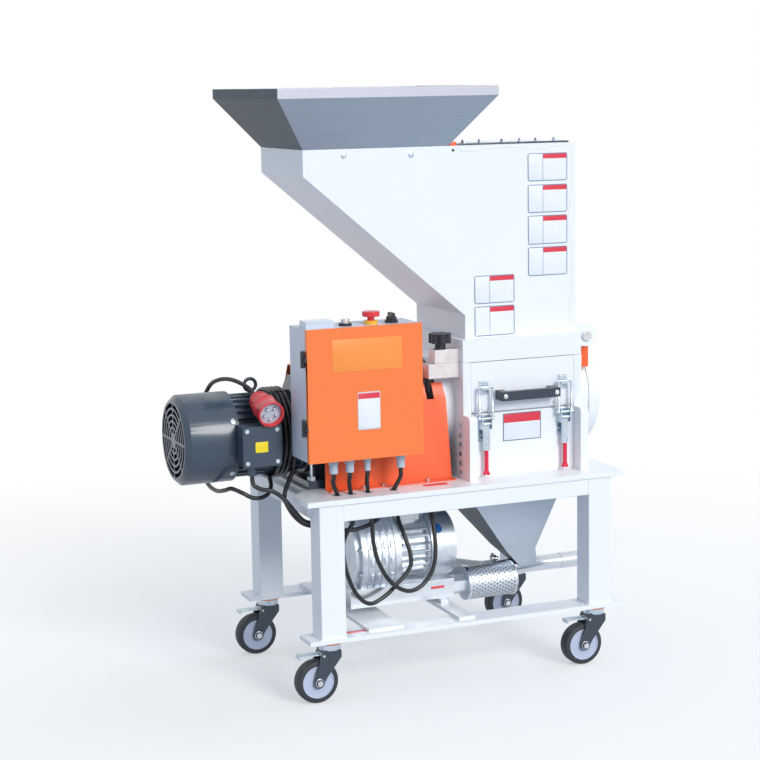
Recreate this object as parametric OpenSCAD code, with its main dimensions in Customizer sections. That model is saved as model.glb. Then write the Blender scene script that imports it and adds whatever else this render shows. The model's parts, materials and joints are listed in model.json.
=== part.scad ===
// Beside-the-press plastic granulator on a castored frame.
// Millimetres, +Z up, the long front side along X, the operator at -Y.
// The origin is on the floor under the middle of the whole machine.

/* [Frame] */
// Length of the frame and of the table
frame_l = 800; // [780:1:840]
// Width of the frame and of the table
frame_w = 490; // [480:1:520]
// Width of the lower flat rails
rail_w = 70; // [64:1:76]
// Thickness of the lower flat rails
rail_t = 10; // [8:1:14]
// Outside width of the square leg tube
leg_tube = 60; // [54:1:62]
// Wall of the square tubes
tube_wall = 4; // [2:0.5:6]
// Side of the square beams under the table
beam = 40; // [30:1:44]
// Distance from the end of the frame to a leg
leg_inset_x = 29; // [20:1:36]
// Distance from the long side of the frame to a leg
leg_inset_y = 5; // [2:1:8]
// Height of the table top above the floor
table_z = 471; // [465:1:480]
// Thickness of the table plate
table_t = 12; // [8:1:14]
// Depth of the notch in the left end of the table
notch_d = 44; // [30:1:50]
// Half width of the deep part of the notch
notch_half = 110; // [100:1:114]

/* [Casters] */
// Diameter of a wheel over its tyre
wheel_d = 100; // [90:1:104]
// Width of a tyre
tyre_w = 32; // [26:1:34]
// Height from the floor to the underside of the rails
caster_h = 141; // [139:1:146]
// Distance from the swivel axis back to the wheel's axle
caster_trail = 35; // [30:1:38]
// Travel of a brake pedal in degrees
pedal_travel = 12; // [8:1:14]

/* [Cutting chamber] */
// Outer face of the left side plate, from the middle of the frame
chamber_x = 20; // [16:1:24]
// Width over both side plates
chamber_w = 311; // [305:1:316]
// Thickness of the side plates, walls and front door
plate_t = 20; // [18:1:22]
// Depth over the front door and the rear wall
chamber_d = 332; // [326:1:336]
// How far the lower cheeks stand out past the front and rear
cheek_reach = 34; // [28:1:38]
// Height of the seam under the front door, above the table
seam_h = 151; // [146:1:156]
// Height of the chamber above the table
chamber_h = 274; // [272:1:280]
// Height of the rotor axis above the table
rotor_h = 161; // [158:1:163]
// Radius that the rotor knives sweep
rotor_r = 108; // [102:1:109]
// Radius of the rotor shaft
shaft_r = 30; // [26:1:32]

/* [Hopper] */
// Height of the hopper's lower flange
flange_h = 52; // [48:1:56]
// Half width of the hopper body
hopper_half = 140; // [132:1:142]
// Height of the hopper body from the table to its top
hopper_top_h = 774; // [760:1:790]
// Height of the body's short left end
hopper_end_h = 59; // [50:1:70]
// Reach of the hopper body to the left of the frame's middle
hopper_reach = 355; // [340:1:365]
// Height of the straight neck below the slanted floor
neck_h = 55; // [45:1:65]
// Gauge of the hopper's sheet
sheet_t = 3; // [2:0.5:4]
// Length of the funnel's lower mouth
mouth_l = 355; // [340:1:360]
// Height of the feed funnel
funnel_h = 136; // [125:1:150]
// How far the funnel's rim stands out all round
funnel_flare = 87; // [80:1:90]
// Height of the funnel's rim band
rim_h = 22; // [16:1:26]

/* [Drive] */
// Height of the motor axis above the table
motor_h = 121; // [120:1:122]
// Radius of the motor's fan cowl
cowl_r = 104; // [100:1:106]
// Length of the fan cowl
cowl_l = 127; // [120:1:132]
// Length of the finned motor body
motor_l = 187; // [184:1:192]
// Radius over the motor fins
fin_r = 96; // [92:1:97]
// Length of the gearbox
gearbox_l = 245; // [240:1:246]
// Left end of the drive guard, from the middle of the frame
guard_x = -316; // [-320:1:-310]
// Distance of the guard's front face from the middle
guard_y = 137; // [134:1:138]

/* [Control box] */
// Left side of the control box, from the middle of the frame
box_x = -395; // [-400:1:-390]
// Width of the control box
box_w = 275; // [270:1:280]
// Height of the control box
box_h = 297; // [290:1:305]
// Depth of the control box without its door
box_d = 100; // [90:1:104]
// Height of the box's underside above the table
box_lift = 89; // [86:1:96]
// Radius of the stop button's head
stop_r = 20; // [16:0.5:21]

/* [Blower] */
// Height of the blower axis above the rails
blower_h = 134; // [133:1:138]
// Radius of the side-channel casing
channel_r = 122; // [112:1:124]
// Radius of the blower motor's cowl
blower_cowl_r = 80; // [74:1:82]
// Outside diameter of the conveying pipe
pipe_d = 38; // [34:1:40]
// Outside radius of the intake filter
filter_r = 40; // [36:1:41]

/* [Hidden] */
$fn = 48;
// Overrun of a cut past the face that it opens
over = 1;
// Radial clearance of a shaft in its bearing or of a pin in its hole
run_gap = 0.05;
// Clearance between pieces that move past each other face to face
side_gap = 0.5;
// Seat clearance of a piece that lies on a soft or curved neighbour
seat_gap = 0.3;

// Frame places
rail_top = caster_h + rail_t;
table_low = table_z - table_t;
leg_x = frame_l / 2 - leg_inset_x - leg_tube / 2;
leg_y = frame_w / 2 - leg_inset_y - leg_tube / 2;
beam_y = leg_y + leg_tube / 2 - beam / 2;
beam_x = leg_x + leg_tube / 2 - beam / 2;
notch_slope = 46;
crossbar_x = [-208, -4];
crossbar_w = [86, 40];
crossbar_t = 8;
crossbar_half = 228;
cable_hole = [[-308, -193], [-275, -194], [-233, -194], [-174, -196], [-50, -100]];
cable_hole_r = 11;

// Caster values
wheel_r = wheel_d / 2;
mount_disc_r = 27;
mount_disc_t = 5;
race_r = 25;
race_t = 14;
stem_r = 6;
stem_out = 16;
nut_r = 11;
nut_h = 10;
fork_top = caster_h - mount_disc_t - race_t - side_gap;
fork_t = 4;
fork_head_r = 24;
fork_gap = 2.5;
fork_in = tyre_w / 2 + fork_gap;
axle_r = 5;
axle_head_r = 9;
axle_head_t = 5;
boss_r = 13;
head_drop = 12;
hub_r = 37;
hub_bore_r = 9;
hub_face_t = 3;
tyre_round = 4;
pedal_t = 3;
pedal_w = 26;
pedal_l = 54;
pedal_pin_r = 3;
pedal_boss_r = 5;
pedal_x = 22;
pedal_drop = 10.5;
pedal_z = fork_top - pedal_drop;

// Chamber places
chamber_r_x = chamber_x + chamber_w;
chamber_front = -chamber_d / 2;
wall_in = chamber_d / 2 - plate_t;
cheek_y = chamber_d / 2 + cheek_reach;
seam_z = table_z + seam_h;
chamber_top = table_z + chamber_h;
rotor_z = table_z + rotor_h;
in_l = chamber_x + plate_t;
in_r = chamber_r_x - plate_t;
cheek_round = 10;
wall_bolt_r = 6;
wall_bolt_t = 4;
bolt_rows = 6;
bolt_edge = 12;

// Bearings and rotor
bearing_r = 62;
bearing_w = 36;
housing_r = 121;
housing_l = 45;
cap_r = 125;
cap_l = 27;
cap_t = 8;
seal_gap = 0.5;
rotor_disc_t = 22;
rotor_discs = 5;
rotor_disc_r = 84;
rotor_rows = 3;
knife_t = 12;
knife_depth = 34;
knife_gap = 4;
bed_knife_t = 14;
bed_drop = 30;
screen_gap = 5;
screen_t = 4;
screen_half = 72;
screen_hole_r = 5;
screen_rows = 7;
screen_cols = 11;

// Front door, its hinge and latches
door_gap = 0.5;
door_pin_r = 5;
door_pin_l = 10;
door_axis_y = chamber_front + plate_t / 2;
door_axis_z = seam_z + plate_t / 2 + 2 * door_gap;
handle_x = 103;
handle_l = 152;
handle_z = 665;
handle_out = 38;
handle_w = 22;
handle_t = 14;
latch_x = [72, 279];
latch_plate_w = 30;
latch_plate_t = 2.5;
latch_plate_h = 62;
ear_in = 11;
ear_t = 2.5;
ear_out = 20;
ear_h = 32;
lever_axis_z = seam_z - 22;
latch_out = 14;
latch_axis_y = chamber_front - latch_out;
latch_pin_r = 3;
lever_boss_r = 5;
lever_w = 18;
lever_t = 3;
lever_l = 62;
grip_l = 46;
grip_r = 5;
grip_fork = 14;
bow_lift = 13;
bow_axis_z = lever_axis_z + bow_lift;
bow_r = 2.5;
bow_half = 17;
bow_l = 74;
bow_eye_r = 5;
catch_w = 24;
catch_h = 34;
catch_t = 2.5;
catch_ledge_t = 3;
catch_lip_h = 1.2;
catch_lip_t = 2;
catch_lip_gap = 2;
door_top = chamber_top - side_gap - seat_gap;

// Hopper places
hopper_z = chamber_top + door_gap;
flange_top = hopper_z + flange_h;
hopper_top = table_z + hopper_top_h;
neck_x = 39;
hopper_r_x = 329;
flange_x = chamber_x;
flange_r_x = 330;
flange_wall = 22;
hinge_x = 358;
hinge_z = 785;
arm_t = 20;
arm_y = 140;
arm_r = 26;
arm_top = 810;
arm_low = 760;
lug_t = 20;
lug_gap = 0.5;
lug_w = 34;
lug_low = 706;
lug_head_r = 17;
hinge_pin_r = 8;
pin_head_r = 12;
pin_head_t = 7;
clamp_y = 132;
clamp_d = 36;
upper_block_l = 64;
upper_block_h = 32;
lower_block_l = 80;
lower_block_h = 34;
stud_r = 6;
stud_gap = 1.5;
stud_in = 8;
knob_x = -22;
knob_r = 27;
knob_h = 22;
knob_neck_r = 13;
knob_neck_h = 14;
knob_lobes = 7;
lobe_share = 0.28;
switch_r = 9;
switch_l = 30;
funnel_t = 2;
rim_lip = 6;
rim_lip_t = 3;

// Drive places
guard_t = 2;
guard_right = 2;
guard_top_x = -14;
guard_flange = 28;
guard_crease_h = 191;
guard_top_h = 262;
guard_top_y = 100;
guard_notch_x = -68;
guard_notch_h = 226;
gearbox_x = -75;
gearbox_left = gearbox_x - gearbox_l;
motor_z = table_z + motor_h;
module_a = 2;
pinion_a = 14;
gear_a = 50;
module_b = 3;
pinion_b = 12;
gear_b = 40;
dist_a = module_a * (pinion_a + gear_a) / 2;
dist_b = module_b * (pinion_b + gear_b) / 2;
axis_gap = rotor_z - motor_z;
counter_dz = (dist_a * dist_a - dist_b * dist_b + axis_gap * axis_gap) / (2 * axis_gap);
counter_z = motor_z + counter_dz;
counter_y = sqrt(dist_a * dist_a - counter_dz * counter_dz);
gear_a_w = 20;
gear_b_w = 30;
gear_gap = 8;
tooth_share = 0.40;
tip_share = 0.20;
addendum_share = 0.8;
dedendum_share = 1.2;
case_wall = 10;
case_front = 78;
case_back = 128;
case_top = 78;
case_chamfer = 34;
foot_t = 18;
foot_front = 110;
foot_back = 130;
counter_r = 12;
coupling_r = 52;
coupling_l = 40;
motor_shaft_r = 14;
stator_r = 52;
air_gap = 0.5;
core_r = 84;
fins = 32;
fin_t = 3;
end_bell_t = 16;
adapter_t = 12;
adapter_r = 100;
cowl_t = 2;
cowl_lap = 14;
grille_rings = 5;
grille_bar = 5;
grille_spokes = 8;
grille_hub_r = 18;
fan_r = 86;
fan_blades = 7;
fan_t = 3;
fan_l = 34;
eyebolt_r = 14;
eyebolt_wire = 4;
eyebolt_lift = 19;
term_x = -514;
term_w = 89;
term_z = 544;
term_h = 91;
term_y = -150;
term_lid_t = 8;
term_screw_r = 5;
term_edge = 9;

// Control box places
box_z = table_z + box_lift;
box_top = box_z + box_h;
box_back = -guard_y - guard_t / 2;
box_front = box_back - box_d;
box_t = 2;
box_mid_y = box_back - 67;
door_t = 12;
door_lap = 1;
box_hinge_r = 5;
box_hinge_h = 36;
box_hinge_share = [0.2, 0.72];
mount_plate_t = 3;
mount_plate_gap = 12;
contactor = [45, 60, 72];
contactors = 3;
rail_depth = 8;
rail_height = 35;
stop_x = -225;
start_x = -287;
selector_x = -175;
meter_x = -388;
meter_w = 66;
meter_d = 40;
meter_h = 16;
stop_base_r = 16;
stop_base_h = 8;
stop_stem_r = 8;
stop_lift = 9;
stop_head_h = 12;
stop_travel = 6;
bezel_r = 15;
bezel_h = 6;
start_r = 10;
start_h = 9;
start_travel = 3;
button_hole_gap = 0.1;
contact_block = 28;
contact_h = 40;
selector_r = 12;
selector_h = 7;
selector_bar = [26, 8, 9];
gland_x = [-321, -282, -239, -157];
gland_r = [12, 12, 9, 12];
gland_h = 36;
gland_y = -205;
gland_nut_share = 0.45;
cable_r = 5;

// Blower places
blower_z = rail_top + blower_h;
blower_x = -220;
channel_l = 100;
channel_wall = 10;
blower_motor_l = 96;
blower_fin_r = 72;
blower_core_r = 62;
blower_fins = 24;
blower_cowl_l = 64;
blower_shaft_r = 9;
impeller_r = 104;
impeller_t = 30;
impeller_blades = 24;
vane_t = 3;
silencer_y = [-93, 80];
silencer_w = 54;
silencer_h = 45;
silencer_z = 178;
silencer_l = 265;
silencer_left = -252;
silencer_wall = 4;
port_r = 15;
intake_z = 200;
hex_r = 24;
hex_l = 36;
filter_l = 129;
filter_wall = 2;
filter_ring_t = 6;
filter_ring_out = 0.8;
foot_pad = 50;
blower_foot_half = 60;
blower_foot_h = 40;
blower_term = [64, 50, 25];
blower_term_x = -108;
blower_term_y = -45;
nipple_r = 19;
nipple_l = 26;

// Discharge places
pipe_r = pipe_d / 2;
pipe_wall = 2;
pipe_y = -15;
pipe_z = 204;
pipe_left = 162;
pipe_right = 430;
spigot_r = 20;
spigot_l = 80;
chute_wall = 2;
chute_half = 138;
chute_mid = [182, 261];
chute_mid_y = [-60, 30];
chute_mid_z = 256;
chute_low = [235, 281];
hose_r = 23;
hose_bore_r = 19.2;
hose_rib = 2;

// Whole machine
motor_right = gearbox_left;
motor_left = motor_right - adapter_t - motor_l;
cowl_left = motor_left - cowl_l + cowl_lap;
frame_x = -(cowl_left + pipe_right) / 2;
frame_y = -(box_front - door_t + frame_w / 2) / 2;

// Routes of the cables, by hand, from the middle of the frame
mains_r = 5;
coil_r = fin_r + mains_r + seat_gap;
coil_rings = 24;
coil_steps = 92;
coil_pitch = 11;
coil_x = -372;
coil_start = 110;
cord_gap = 0.3;
blower_cable_route = [
    [-282, -205, 524], [-282, -200, 500], [-276, -193, 470], [-268, -187, 430], [-268, -180, 400],
    [-280, -166, 368], [-285, -160, 335], [-276, -158, 280], [-252, -155, 225], [-218, -150, 196],
    [-180, -146, 206], [-146, -142, 230], [-108, -136, 266], [-104, -130, 298], [-112, -118, 336],
    [-118, -98, 370], [-115, -76, 397], [-104, -52, 412], [-88, -32, 413], [-78, -22, 401], [-76, -20, 382]];
switch_cable_route = [
    [-239, -205, 524], [-239, -200, 500], [-234, -193, 470], [-228, -187, 430], [-222, -185, 396],
    [-216, -176, 350], [-204, -170, 305], [-182, -168, 262], [-154, -166, 232], [-119, -164, 218],
    [-84, -160, 230], [-58, -156, 262], [-48, -150, 305], [-46, -138, 355], [-48, -120, 400],
    [-50, -104, 440], [-50, -100, 480], [-50, -100, 600], [-50, -106, 650], [-50, -118, 680], [-50, -126, 711]];
motor_cable_route = [
    [-321, -205, 524], [-321, -200, 500], [-308, -193, 470], [-298, -186, 440], [-304, -178, 415],
    [-322, -166, 404], [-350, -160, 403], [-376, -155, 410], [-394, -150, 430], [-420, -142, 464],
    [-446, -140, 483], [-468, -134, 488], [-483, -127, 496], [-487, -124, 508], [-487, -124, 520]];
mains_route = [
    [-157, -205, 524], [-157, -202, 500], [-172, -195, 470], [-190, -187, 440], [-200, -180, 408],
    [-222, -168, 388], [-262, -160, 378], [-310, -155, 384], [-350, -150, 393], [-378, -144, 404],
    [-400, -134, 430], [-408, -116, 462], [-390, -98, 494], [-376, -90, 516]];
lead_route = [
    [-416, -40, 490], [-424, -70, 480], [-440, -95, 468], [-462, -108, 463], [-484, -110, 466],
    [-505, -106, 478], [-524, -86, 486], [-532, -60, 478], [-536, -10, 468], [-538, 50, 474],
    [-538, 100, 510], [-534, 128, 570], [-526, 125, 640], [-513, 96, 694], [-500, 60, 714],
    [-484, 20, 719], [-468, -14, 712], [-457, -36, 702]];
hose_route = [
    [14, 80, 200], [34, 80, 200], [54, 79, 200], [76, 70, 200], [92, 52, 201], [106, 30, 202],
    [120, 6, 203], [136, -11, 204], [150, -15, 204], [164, -15, 204], [178, -15, 204]];

// Places and sizes of small pieces
drop_half = 134;
drop_right = 307;
stem_head_r = 9;
stem_head_t = 5;
fork_arm_out = 6;
fork_knee = 14;
fork_nose = 20;
pedal_lip = 5;
bolt_low = 15;
bolt_step = 22;
guard_bolt_x = [-300, -226, -178, -66];
foot_x = -347;
foot_bolt_x = -333;
foot_bolt_y = 95;
foot_bolt_r = 5;
foot_bolt_h = 62;
corner_steps = 6;
screen_steps = 24;
screen_angle = 19;
rotor_knife_l = 50;
knife_stagger = 24;
shaft_left = -130;
shaft_out = 10;
coupling_x = -70;
stage_a_x = -302;
stage_b_x = -125;
pinion_hub_r = 9;
handle_post = 18;
latch_head_t = 1.5;
latch_head_r = 4.5;
grip_splay = 24;
grip_tip_share = 0.8;
switch_edge = 10;
switch_y = -126;
lug_clear = 3;
bell_step = 8;
pad_y = 98;
eyebolt_back = 20;
cowl_round = 12;
fan_x = -575;
lid_lap = 1;
term_gland_x = -487;
term_gland_y = -124;
term_gland_z = 520;
term_gland_r = 10;
screw_out = 2;
box_hinge_out = 7;
box_pin_r = 2;
box_leaf_w = 24;
leaf_t = 2;
collar_r = 12;
collar_h = 8;
button_in = 6;
start_bore = 12;
stop_bore = 16;
plate_edge = 15;
plate_top_edge = 70;
standoff_r = 4;
contactor_gap = 12;
gland_dome_share = 0.8;
cover_step = 12;
cover_in = 14;
foot_half = 10;
blower_ring_t = 8;
blower_bell = 10;
blower_stator_r = 46;
cowl_wall = 3;
impeller_gap = 6;
blower_fan_l = 20;
blower_fan_r = 70;
chute_left = 20;
chute_right = 311;
chute_low_half = 17;
pipe_slot_half = 12;
hose_steps = 8;
hose_sides = 8;
cable_steps = 2;
cable_sides = 10;
coil_sides = 6;
plug_tilt = 13;
plug_x = -452;
plug_y = -168;
collar_out = 30;
collar_wall = 4;
collar_l = 50;
plug_body_r = 24;
plug_body_l = 35;
plug_nut_r = 17;
plug_nut_l = 25;
plug_pins = 5;
plug_pin_r = 3;
plug_pin_ring = 14;
pin_recess = 12;

// Colours, as the photograph shows them
white = [0.82, 0.87, 0.93];
orange = [1.0, 0.45, 0.22];
steel = [0.72, 0.76, 0.82];
dark_steel = [0.32, 0.35, 0.40];
motor_blue = [0.20, 0.27, 0.36];
black = [0.08, 0.09, 0.11];
crimson = [0.86, 0.10, 0.26];
cast_silver = [0.66, 0.72, 0.80];
sheet_grey = [0.55, 0.62, 0.70];

// Placing and plain shapes
module at_frame() {
    translate([frame_x, frame_y, 0])
        children();
}

module block(lo, hi) {
    translate(lo)
        cube(hi - lo);
}

module rod_x(x0, x1, r, y, z) {
    translate([x0, y, z])
        rotate([0, 90, 0])
            cylinder(h = x1 - x0, r = r);
}

module rod_y(y0, y1, r, x, z) {
    translate([x, y1, z])
        rotate([90, 0, 0])
            cylinder(h = y1 - y0, r = r);
}

module rod_z(z0, z1, r, x, y) {
    translate([x, y, z0])
        cylinder(h = z1 - z0, r = r);
}

// An outline in X and Z, made thick along Y
module slab_y(outline, y0, y1) {
    translate([0, y1, 0])
        rotate([90, 0, 0])
            linear_extrude(y1 - y0)
                polygon(outline);
}

// An outline in Y and Z, made thick along X
module slab_x(outline, x0, x1) {
    translate([x0, 0, 0])
        rotate([90, 0, 90])
            linear_extrude(x1 - x0)
                polygon(outline);
}

// A four-sided frustum between two level rectangles, each [x0, y0, x1, y1]
module frustum(low, z0, high, z1) {
    corners = [
        for (level = [[low, z0], [high, z1]])
            for (c = [[0, 1], [2, 1], [2, 3], [0, 3]])
                [level[0][c[0]], level[0][c[1]], level[1]]];
    polyhedron(corners, [
        [0, 1, 2, 3], [7, 6, 5, 4], [4, 5, 1, 0], [5, 6, 2, 1], [6, 7, 3, 2], [7, 4, 0, 3]]);
}

function inset(rect, d) = [rect[0] + d, rect[1] + d, rect[2] - d, rect[3] - d];

function arc(cx, cy, r, a0, a1, steps) = [
    for (i = [0:steps])
        let (a = a0 + (a1 - a0) * i / steps)
            [cx + r * cos(a), cy + r * sin(a)]];

// A gear outline in Y and Z with one tooth centred at the angle lead
function gear_outline(module_size, teeth, lead) =
    let (pitch_r = module_size * teeth / 2)
    let (tip_r = pitch_r + module_size * addendum_share)
    let (root_r = pitch_r - module_size * dedendum_share)
    let (step = 360 / teeth)
    let (flank_share = (tooth_share - tip_share) / addendum_share)
    let (root_share = tooth_share + flank_share * dedendum_share)
    [for (i = [0:teeth - 1])
        for (p = [[root_r, -root_share], [tip_r, -tip_share], [tip_r, tip_share], [root_r, root_share]])
            let (a = lead + step * i + step * p[1] / 2)
                [p[0] * cos(a), p[0] * sin(a)]];

module gear(module_size, teeth, lead, x0, x1, y, z) {
    translate([0, y, z])
        slab_x(gear_outline(module_size, teeth, lead), x0, x1);
}

// Swept tubes
function unit(v) = v / norm(v);

function blend(a, b, c, d, t) =
    (2 * b + (c - a) * t + (2 * a - 5 * b + 4 * c - d) * t * t + (3 * b - a - 3 * c + d) * t * t * t) / 2;

// A smooth line through the points of a route, with so many steps in each span
function smooth(route, steps) =
    let (n = len(route))
    concat([
        for (i = [0:n - 2])
            for (j = [0:steps - 1])
                let (a = i > 0 ? route[i - 1] : 2 * route[0] - route[1])
                let (d = i < n - 2 ? route[i + 2] : 2 * route[n - 1] - route[n - 2])
                    blend(a, route[i], route[i + 1], d, j / steps)],
        [route[n - 1]]);

function headings(line) =
    let (n = len(line))
    [for (i = [0:n - 1])
        i == 0 ? unit(line[1] - line[0])
        : i == n - 1 ? unit(line[n - 1] - line[n - 2])
        : unit(unit(line[i + 1] - line[i]) + unit(line[i] - line[i - 1]))];

// The side direction at each point, turned along the line without twist
function sides(heads, first) = [
    for (i = 0, s = unit(first - (first * heads[0]) * heads[0]); i < len(heads); i = i + 1,
        s = i < len(heads) ? unit(s - (s * heads[i]) * heads[i]) : s) s];

// One round skin of the line, with its own radius at each point
function skin(line, radii, count, first) =
    let (heads = headings(line))
    let (side = sides(heads, first))
    [for (i = [0:len(line) - 1])
        for (k = [0:count - 1])
            let (a = 360 * k / count)
                line[i] + radii[i] * (cos(a) * side[i] + sin(a) * cross(heads[i], side[i]))];

function skin_faces(rings, count, start, flip) = [
    for (i = [0:rings - 2])
        for (k = [0:count - 1])
            let (a = start + i * count + k)
            let (b = start + i * count + (k + 1) % count)
                flip ? [b, a, a + count, b + count] : [a, b, b + count, a + count]];

module tube(line, r, count, first = [0, 0, 1]) {
    rings = len(line);
    points = skin(line, [for (p = line) r], count, first);
    start_cap = [for (k = [0:count - 1]) k];
    end_cap = [for (k = [0:count - 1]) rings * count - 1 - k];
    polyhedron(points, concat([start_cap], skin_faces(rings, count, 0, true), [end_cap]));
}

// A tube with a bore, its outer radius from a list
module pipe_along(line, radii, bore, count, first = [0, 0, 1]) {
    rings = len(line);
    outer = skin(line, radii, count, first);
    inner = skin(line, [for (p = line) bore], count, first);
    total = rings * count;
    last = (rings - 1) * count;
    ends = [
        for (k = [0:count - 1])
            let (n = (k + 1) % count)
                each [[k, n, total + n, total + k], [last + n, last + k, total + last + k, total + last + n]]];
    polyhedron(concat(outer, inner), concat(
        skin_faces(rings, count, 0, true), skin_faces(rings, count, total, false), ends));
}

// The frame
module lower_rails() {
    color(white)
    at_frame()
        for (s = [-1, 1]) {
            difference() {
                translate([-frame_l / 2, s * (frame_w - rail_w) / 2 - rail_w / 2, caster_h])
                    cube([frame_l, rail_w, rail_t]);
                for (x = [-leg_x, leg_x])
                    rod_z(caster_h - over, rail_top + over, stem_r + seat_gap, x, s * leg_y);
            }
            i = s < 0 ? 0 : 1;
            translate([crossbar_x[i] - crossbar_w[i] / 2, -crossbar_half, rail_top])
                cube([crossbar_w[i], 2 * crossbar_half, crossbar_t]);
        }
}

module upper_frame() {
    color(white)
    at_frame()
        difference() {
            union() {
                for (x = [-leg_x, leg_x], y = [-leg_y, leg_y])
                    block([x - leg_tube / 2, y - leg_tube / 2, rail_top], [x + leg_tube / 2, y + leg_tube / 2, table_low]);
                for (s = [-1, 1])
                    translate([-leg_x, s * beam_y - beam / 2, table_low - beam])
                        cube([2 * leg_x, beam, beam]);
                for (s = [-1, 1])
                    translate([s * beam_x - beam / 2, -leg_y, table_low - beam])
                        cube([beam, 2 * leg_y, beam]);
            }
            for (x = [-leg_x, leg_x], y = [-leg_y, leg_y])
                block(
                    [x - leg_tube / 2 + tube_wall, y - leg_tube / 2 + tube_wall, rail_top - over],
                    [x + leg_tube / 2 - tube_wall, y + leg_tube / 2 - tube_wall, table_low + over]);
            for (s = [-1, 1])
                translate([-leg_x, s * beam_y - beam / 2 + tube_wall, table_low - beam + tube_wall])
                    cube([2 * leg_x, beam - 2 * tube_wall, beam - 2 * tube_wall]);
            for (s = [-1, 1])
                translate([s * beam_x - beam / 2 + tube_wall, -leg_y, table_low - beam + tube_wall])
                    cube([beam - 2 * tube_wall, 2 * leg_y, beam - 2 * tube_wall]);
        }
}

module table_plate() {
    half_l = frame_l / 2;
    half_w = frame_w / 2;
    notch_out = notch_half + notch_slope;
    color(white)
    at_frame()
        difference() {
            translate([0, 0, table_low])
                linear_extrude(table_t)
                    polygon([
                        [-half_l, -half_w], [half_l, -half_w], [half_l, half_w], [-half_l, half_w],
                        [-half_l, notch_out], [-half_l + notch_d, notch_half],
                        [-half_l + notch_d, -notch_half], [-half_l, -notch_out]]);
            block([in_l, -drop_half, table_low - over], [drop_right, drop_half, table_z + over]);
            for (p = cable_hole)
                rod_z(table_low - over, table_z + over, cable_hole_r, p[0], p[1]);
        }
}

// A stem with its upper ball race, its nut on the rail and its head inside the fork
module caster_stem(x, y) {
    rod_z(caster_h - mount_disc_t, caster_h, mount_disc_r, x, y);
    rod_z(caster_h - mount_disc_t - race_t, caster_h - mount_disc_t, race_r, x, y);
    rod_z(fork_top - fork_t - side_gap - stem_head_t, rail_top + stem_out, stem_r, x, y);
    rod_z(fork_top - fork_t - side_gap - stem_head_t, fork_top - fork_t - side_gap, stem_head_r, x, y);
}

module fasteners() {
    color(steel)
    at_frame() {
        for (x = [-leg_x, leg_x], y = [-leg_y, leg_y]) {
            caster_stem(x, y);
            difference() {
                translate([x, y, rail_top])
                    cylinder(h = nut_h, r = nut_r, $fn = 6);
                rod_z(rail_top - over, rail_top + nut_h + over, stem_r, x, y);
            }
        }
        for (s = [-1, 1], i = [0:bolt_rows - 1]) {
            z = table_z + bolt_low + i * bolt_step;
            rod_x(chamber_x - wall_bolt_t, chamber_x, wall_bolt_r, s * (wall_in + plate_t / 2), z);
            rod_x(chamber_r_x, chamber_r_x + wall_bolt_t, wall_bolt_r, s * (wall_in + plate_t / 2), z);
        }
        for (x = guard_bolt_x, s = [-1, 1])
            rod_z(table_z + guard_t, table_z + guard_t + wall_bolt_t, wall_bolt_r, x, s * (guard_y + guard_flange / 2));
        for (y = [-foot_bolt_y, foot_bolt_y]) {
            rod_z(table_z + foot_t, table_z + foot_t + foot_bolt_h, foot_bolt_r, foot_bolt_x, y);
            difference() {
                translate([foot_bolt_x, y, table_z + foot_t])
                    cylinder(h = nut_h, r = nut_r, $fn = 6);
                rod_z(table_z + foot_t - over, table_z + foot_t + nut_h + over, foot_bolt_r, foot_bolt_x, y);
            }
        }
    }
}

// The casters
module at_caster(place) {
    translate([frame_x + place[0] * leg_x, frame_y + place[1] * leg_y, 0])
        children();
}

module caster_fork() {
    cheek = [
        [-fork_head_r, fork_top - fork_t], [-fork_head_r - fork_arm_out, pedal_z - pedal_boss_r],
        [-caster_trail - boss_r, wheel_r + boss_r / 2], [-caster_trail - boss_r, wheel_r],
        [-caster_trail + boss_r, wheel_r], [-fork_knee, wheel_r + boss_r], [fork_nose, fork_top - fork_t - head_drop],
        [fork_nose, fork_top - fork_t]];
    color(motor_blue) {
        difference() {
            union() {
                rod_z(fork_top - fork_t, fork_top, fork_head_r, 0, 0);
                block([-fork_head_r, -fork_in - fork_t, fork_top - fork_t], [fork_nose, fork_in + fork_t, fork_top]);
                for (y = [-fork_in - fork_t, fork_in]) {
                    slab_y(cheek, y, y + fork_t);
                    rod_y(y, y + fork_t, boss_r, -caster_trail, wheel_r);
                }
            }
            rod_z(fork_top - fork_t - over, fork_top + over, stem_r + run_gap, 0, 0);
            rod_y(-fork_in - fork_t - over, fork_in + fork_t + over, pedal_pin_r + run_gap, -pedal_x, pedal_z);
        }
        rod_y(-fork_in - fork_t - axle_head_t, fork_in + fork_t + axle_head_t, axle_r, -caster_trail, wheel_r);
        for (y = [-fork_in - fork_t - axle_head_t, fork_in + fork_t])
            rod_y(y, y + axle_head_t, axle_head_r, -caster_trail, wheel_r);
    }
}

module caster_wheel() {
    half = tyre_w / 2;
    translate([-caster_trail, half, wheel_r])
        rotate([90, 0, 0]) {
            color(cast_silver)
                difference() {
                    union() {
                        cylinder(h = tyre_w, r = hub_bore_r);
                        translate([0, 0, hub_face_t])
                            cylinder(h = tyre_w - 2 * hub_face_t, r = hub_r);
                    }
                    translate([0, 0, -over])
                        cylinder(h = tyre_w + 2 * over, r = axle_r + run_gap);
                }
            color(dark_steel)
                rotate_extrude()
                    polygon([
                        [hub_r, 0], [wheel_r - tyre_round, 0], [wheel_r, tyre_round],
                        [wheel_r, tyre_w - tyre_round], [wheel_r - tyre_round, tyre_w], [hub_r, tyre_w]]);
        }
}

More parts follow.
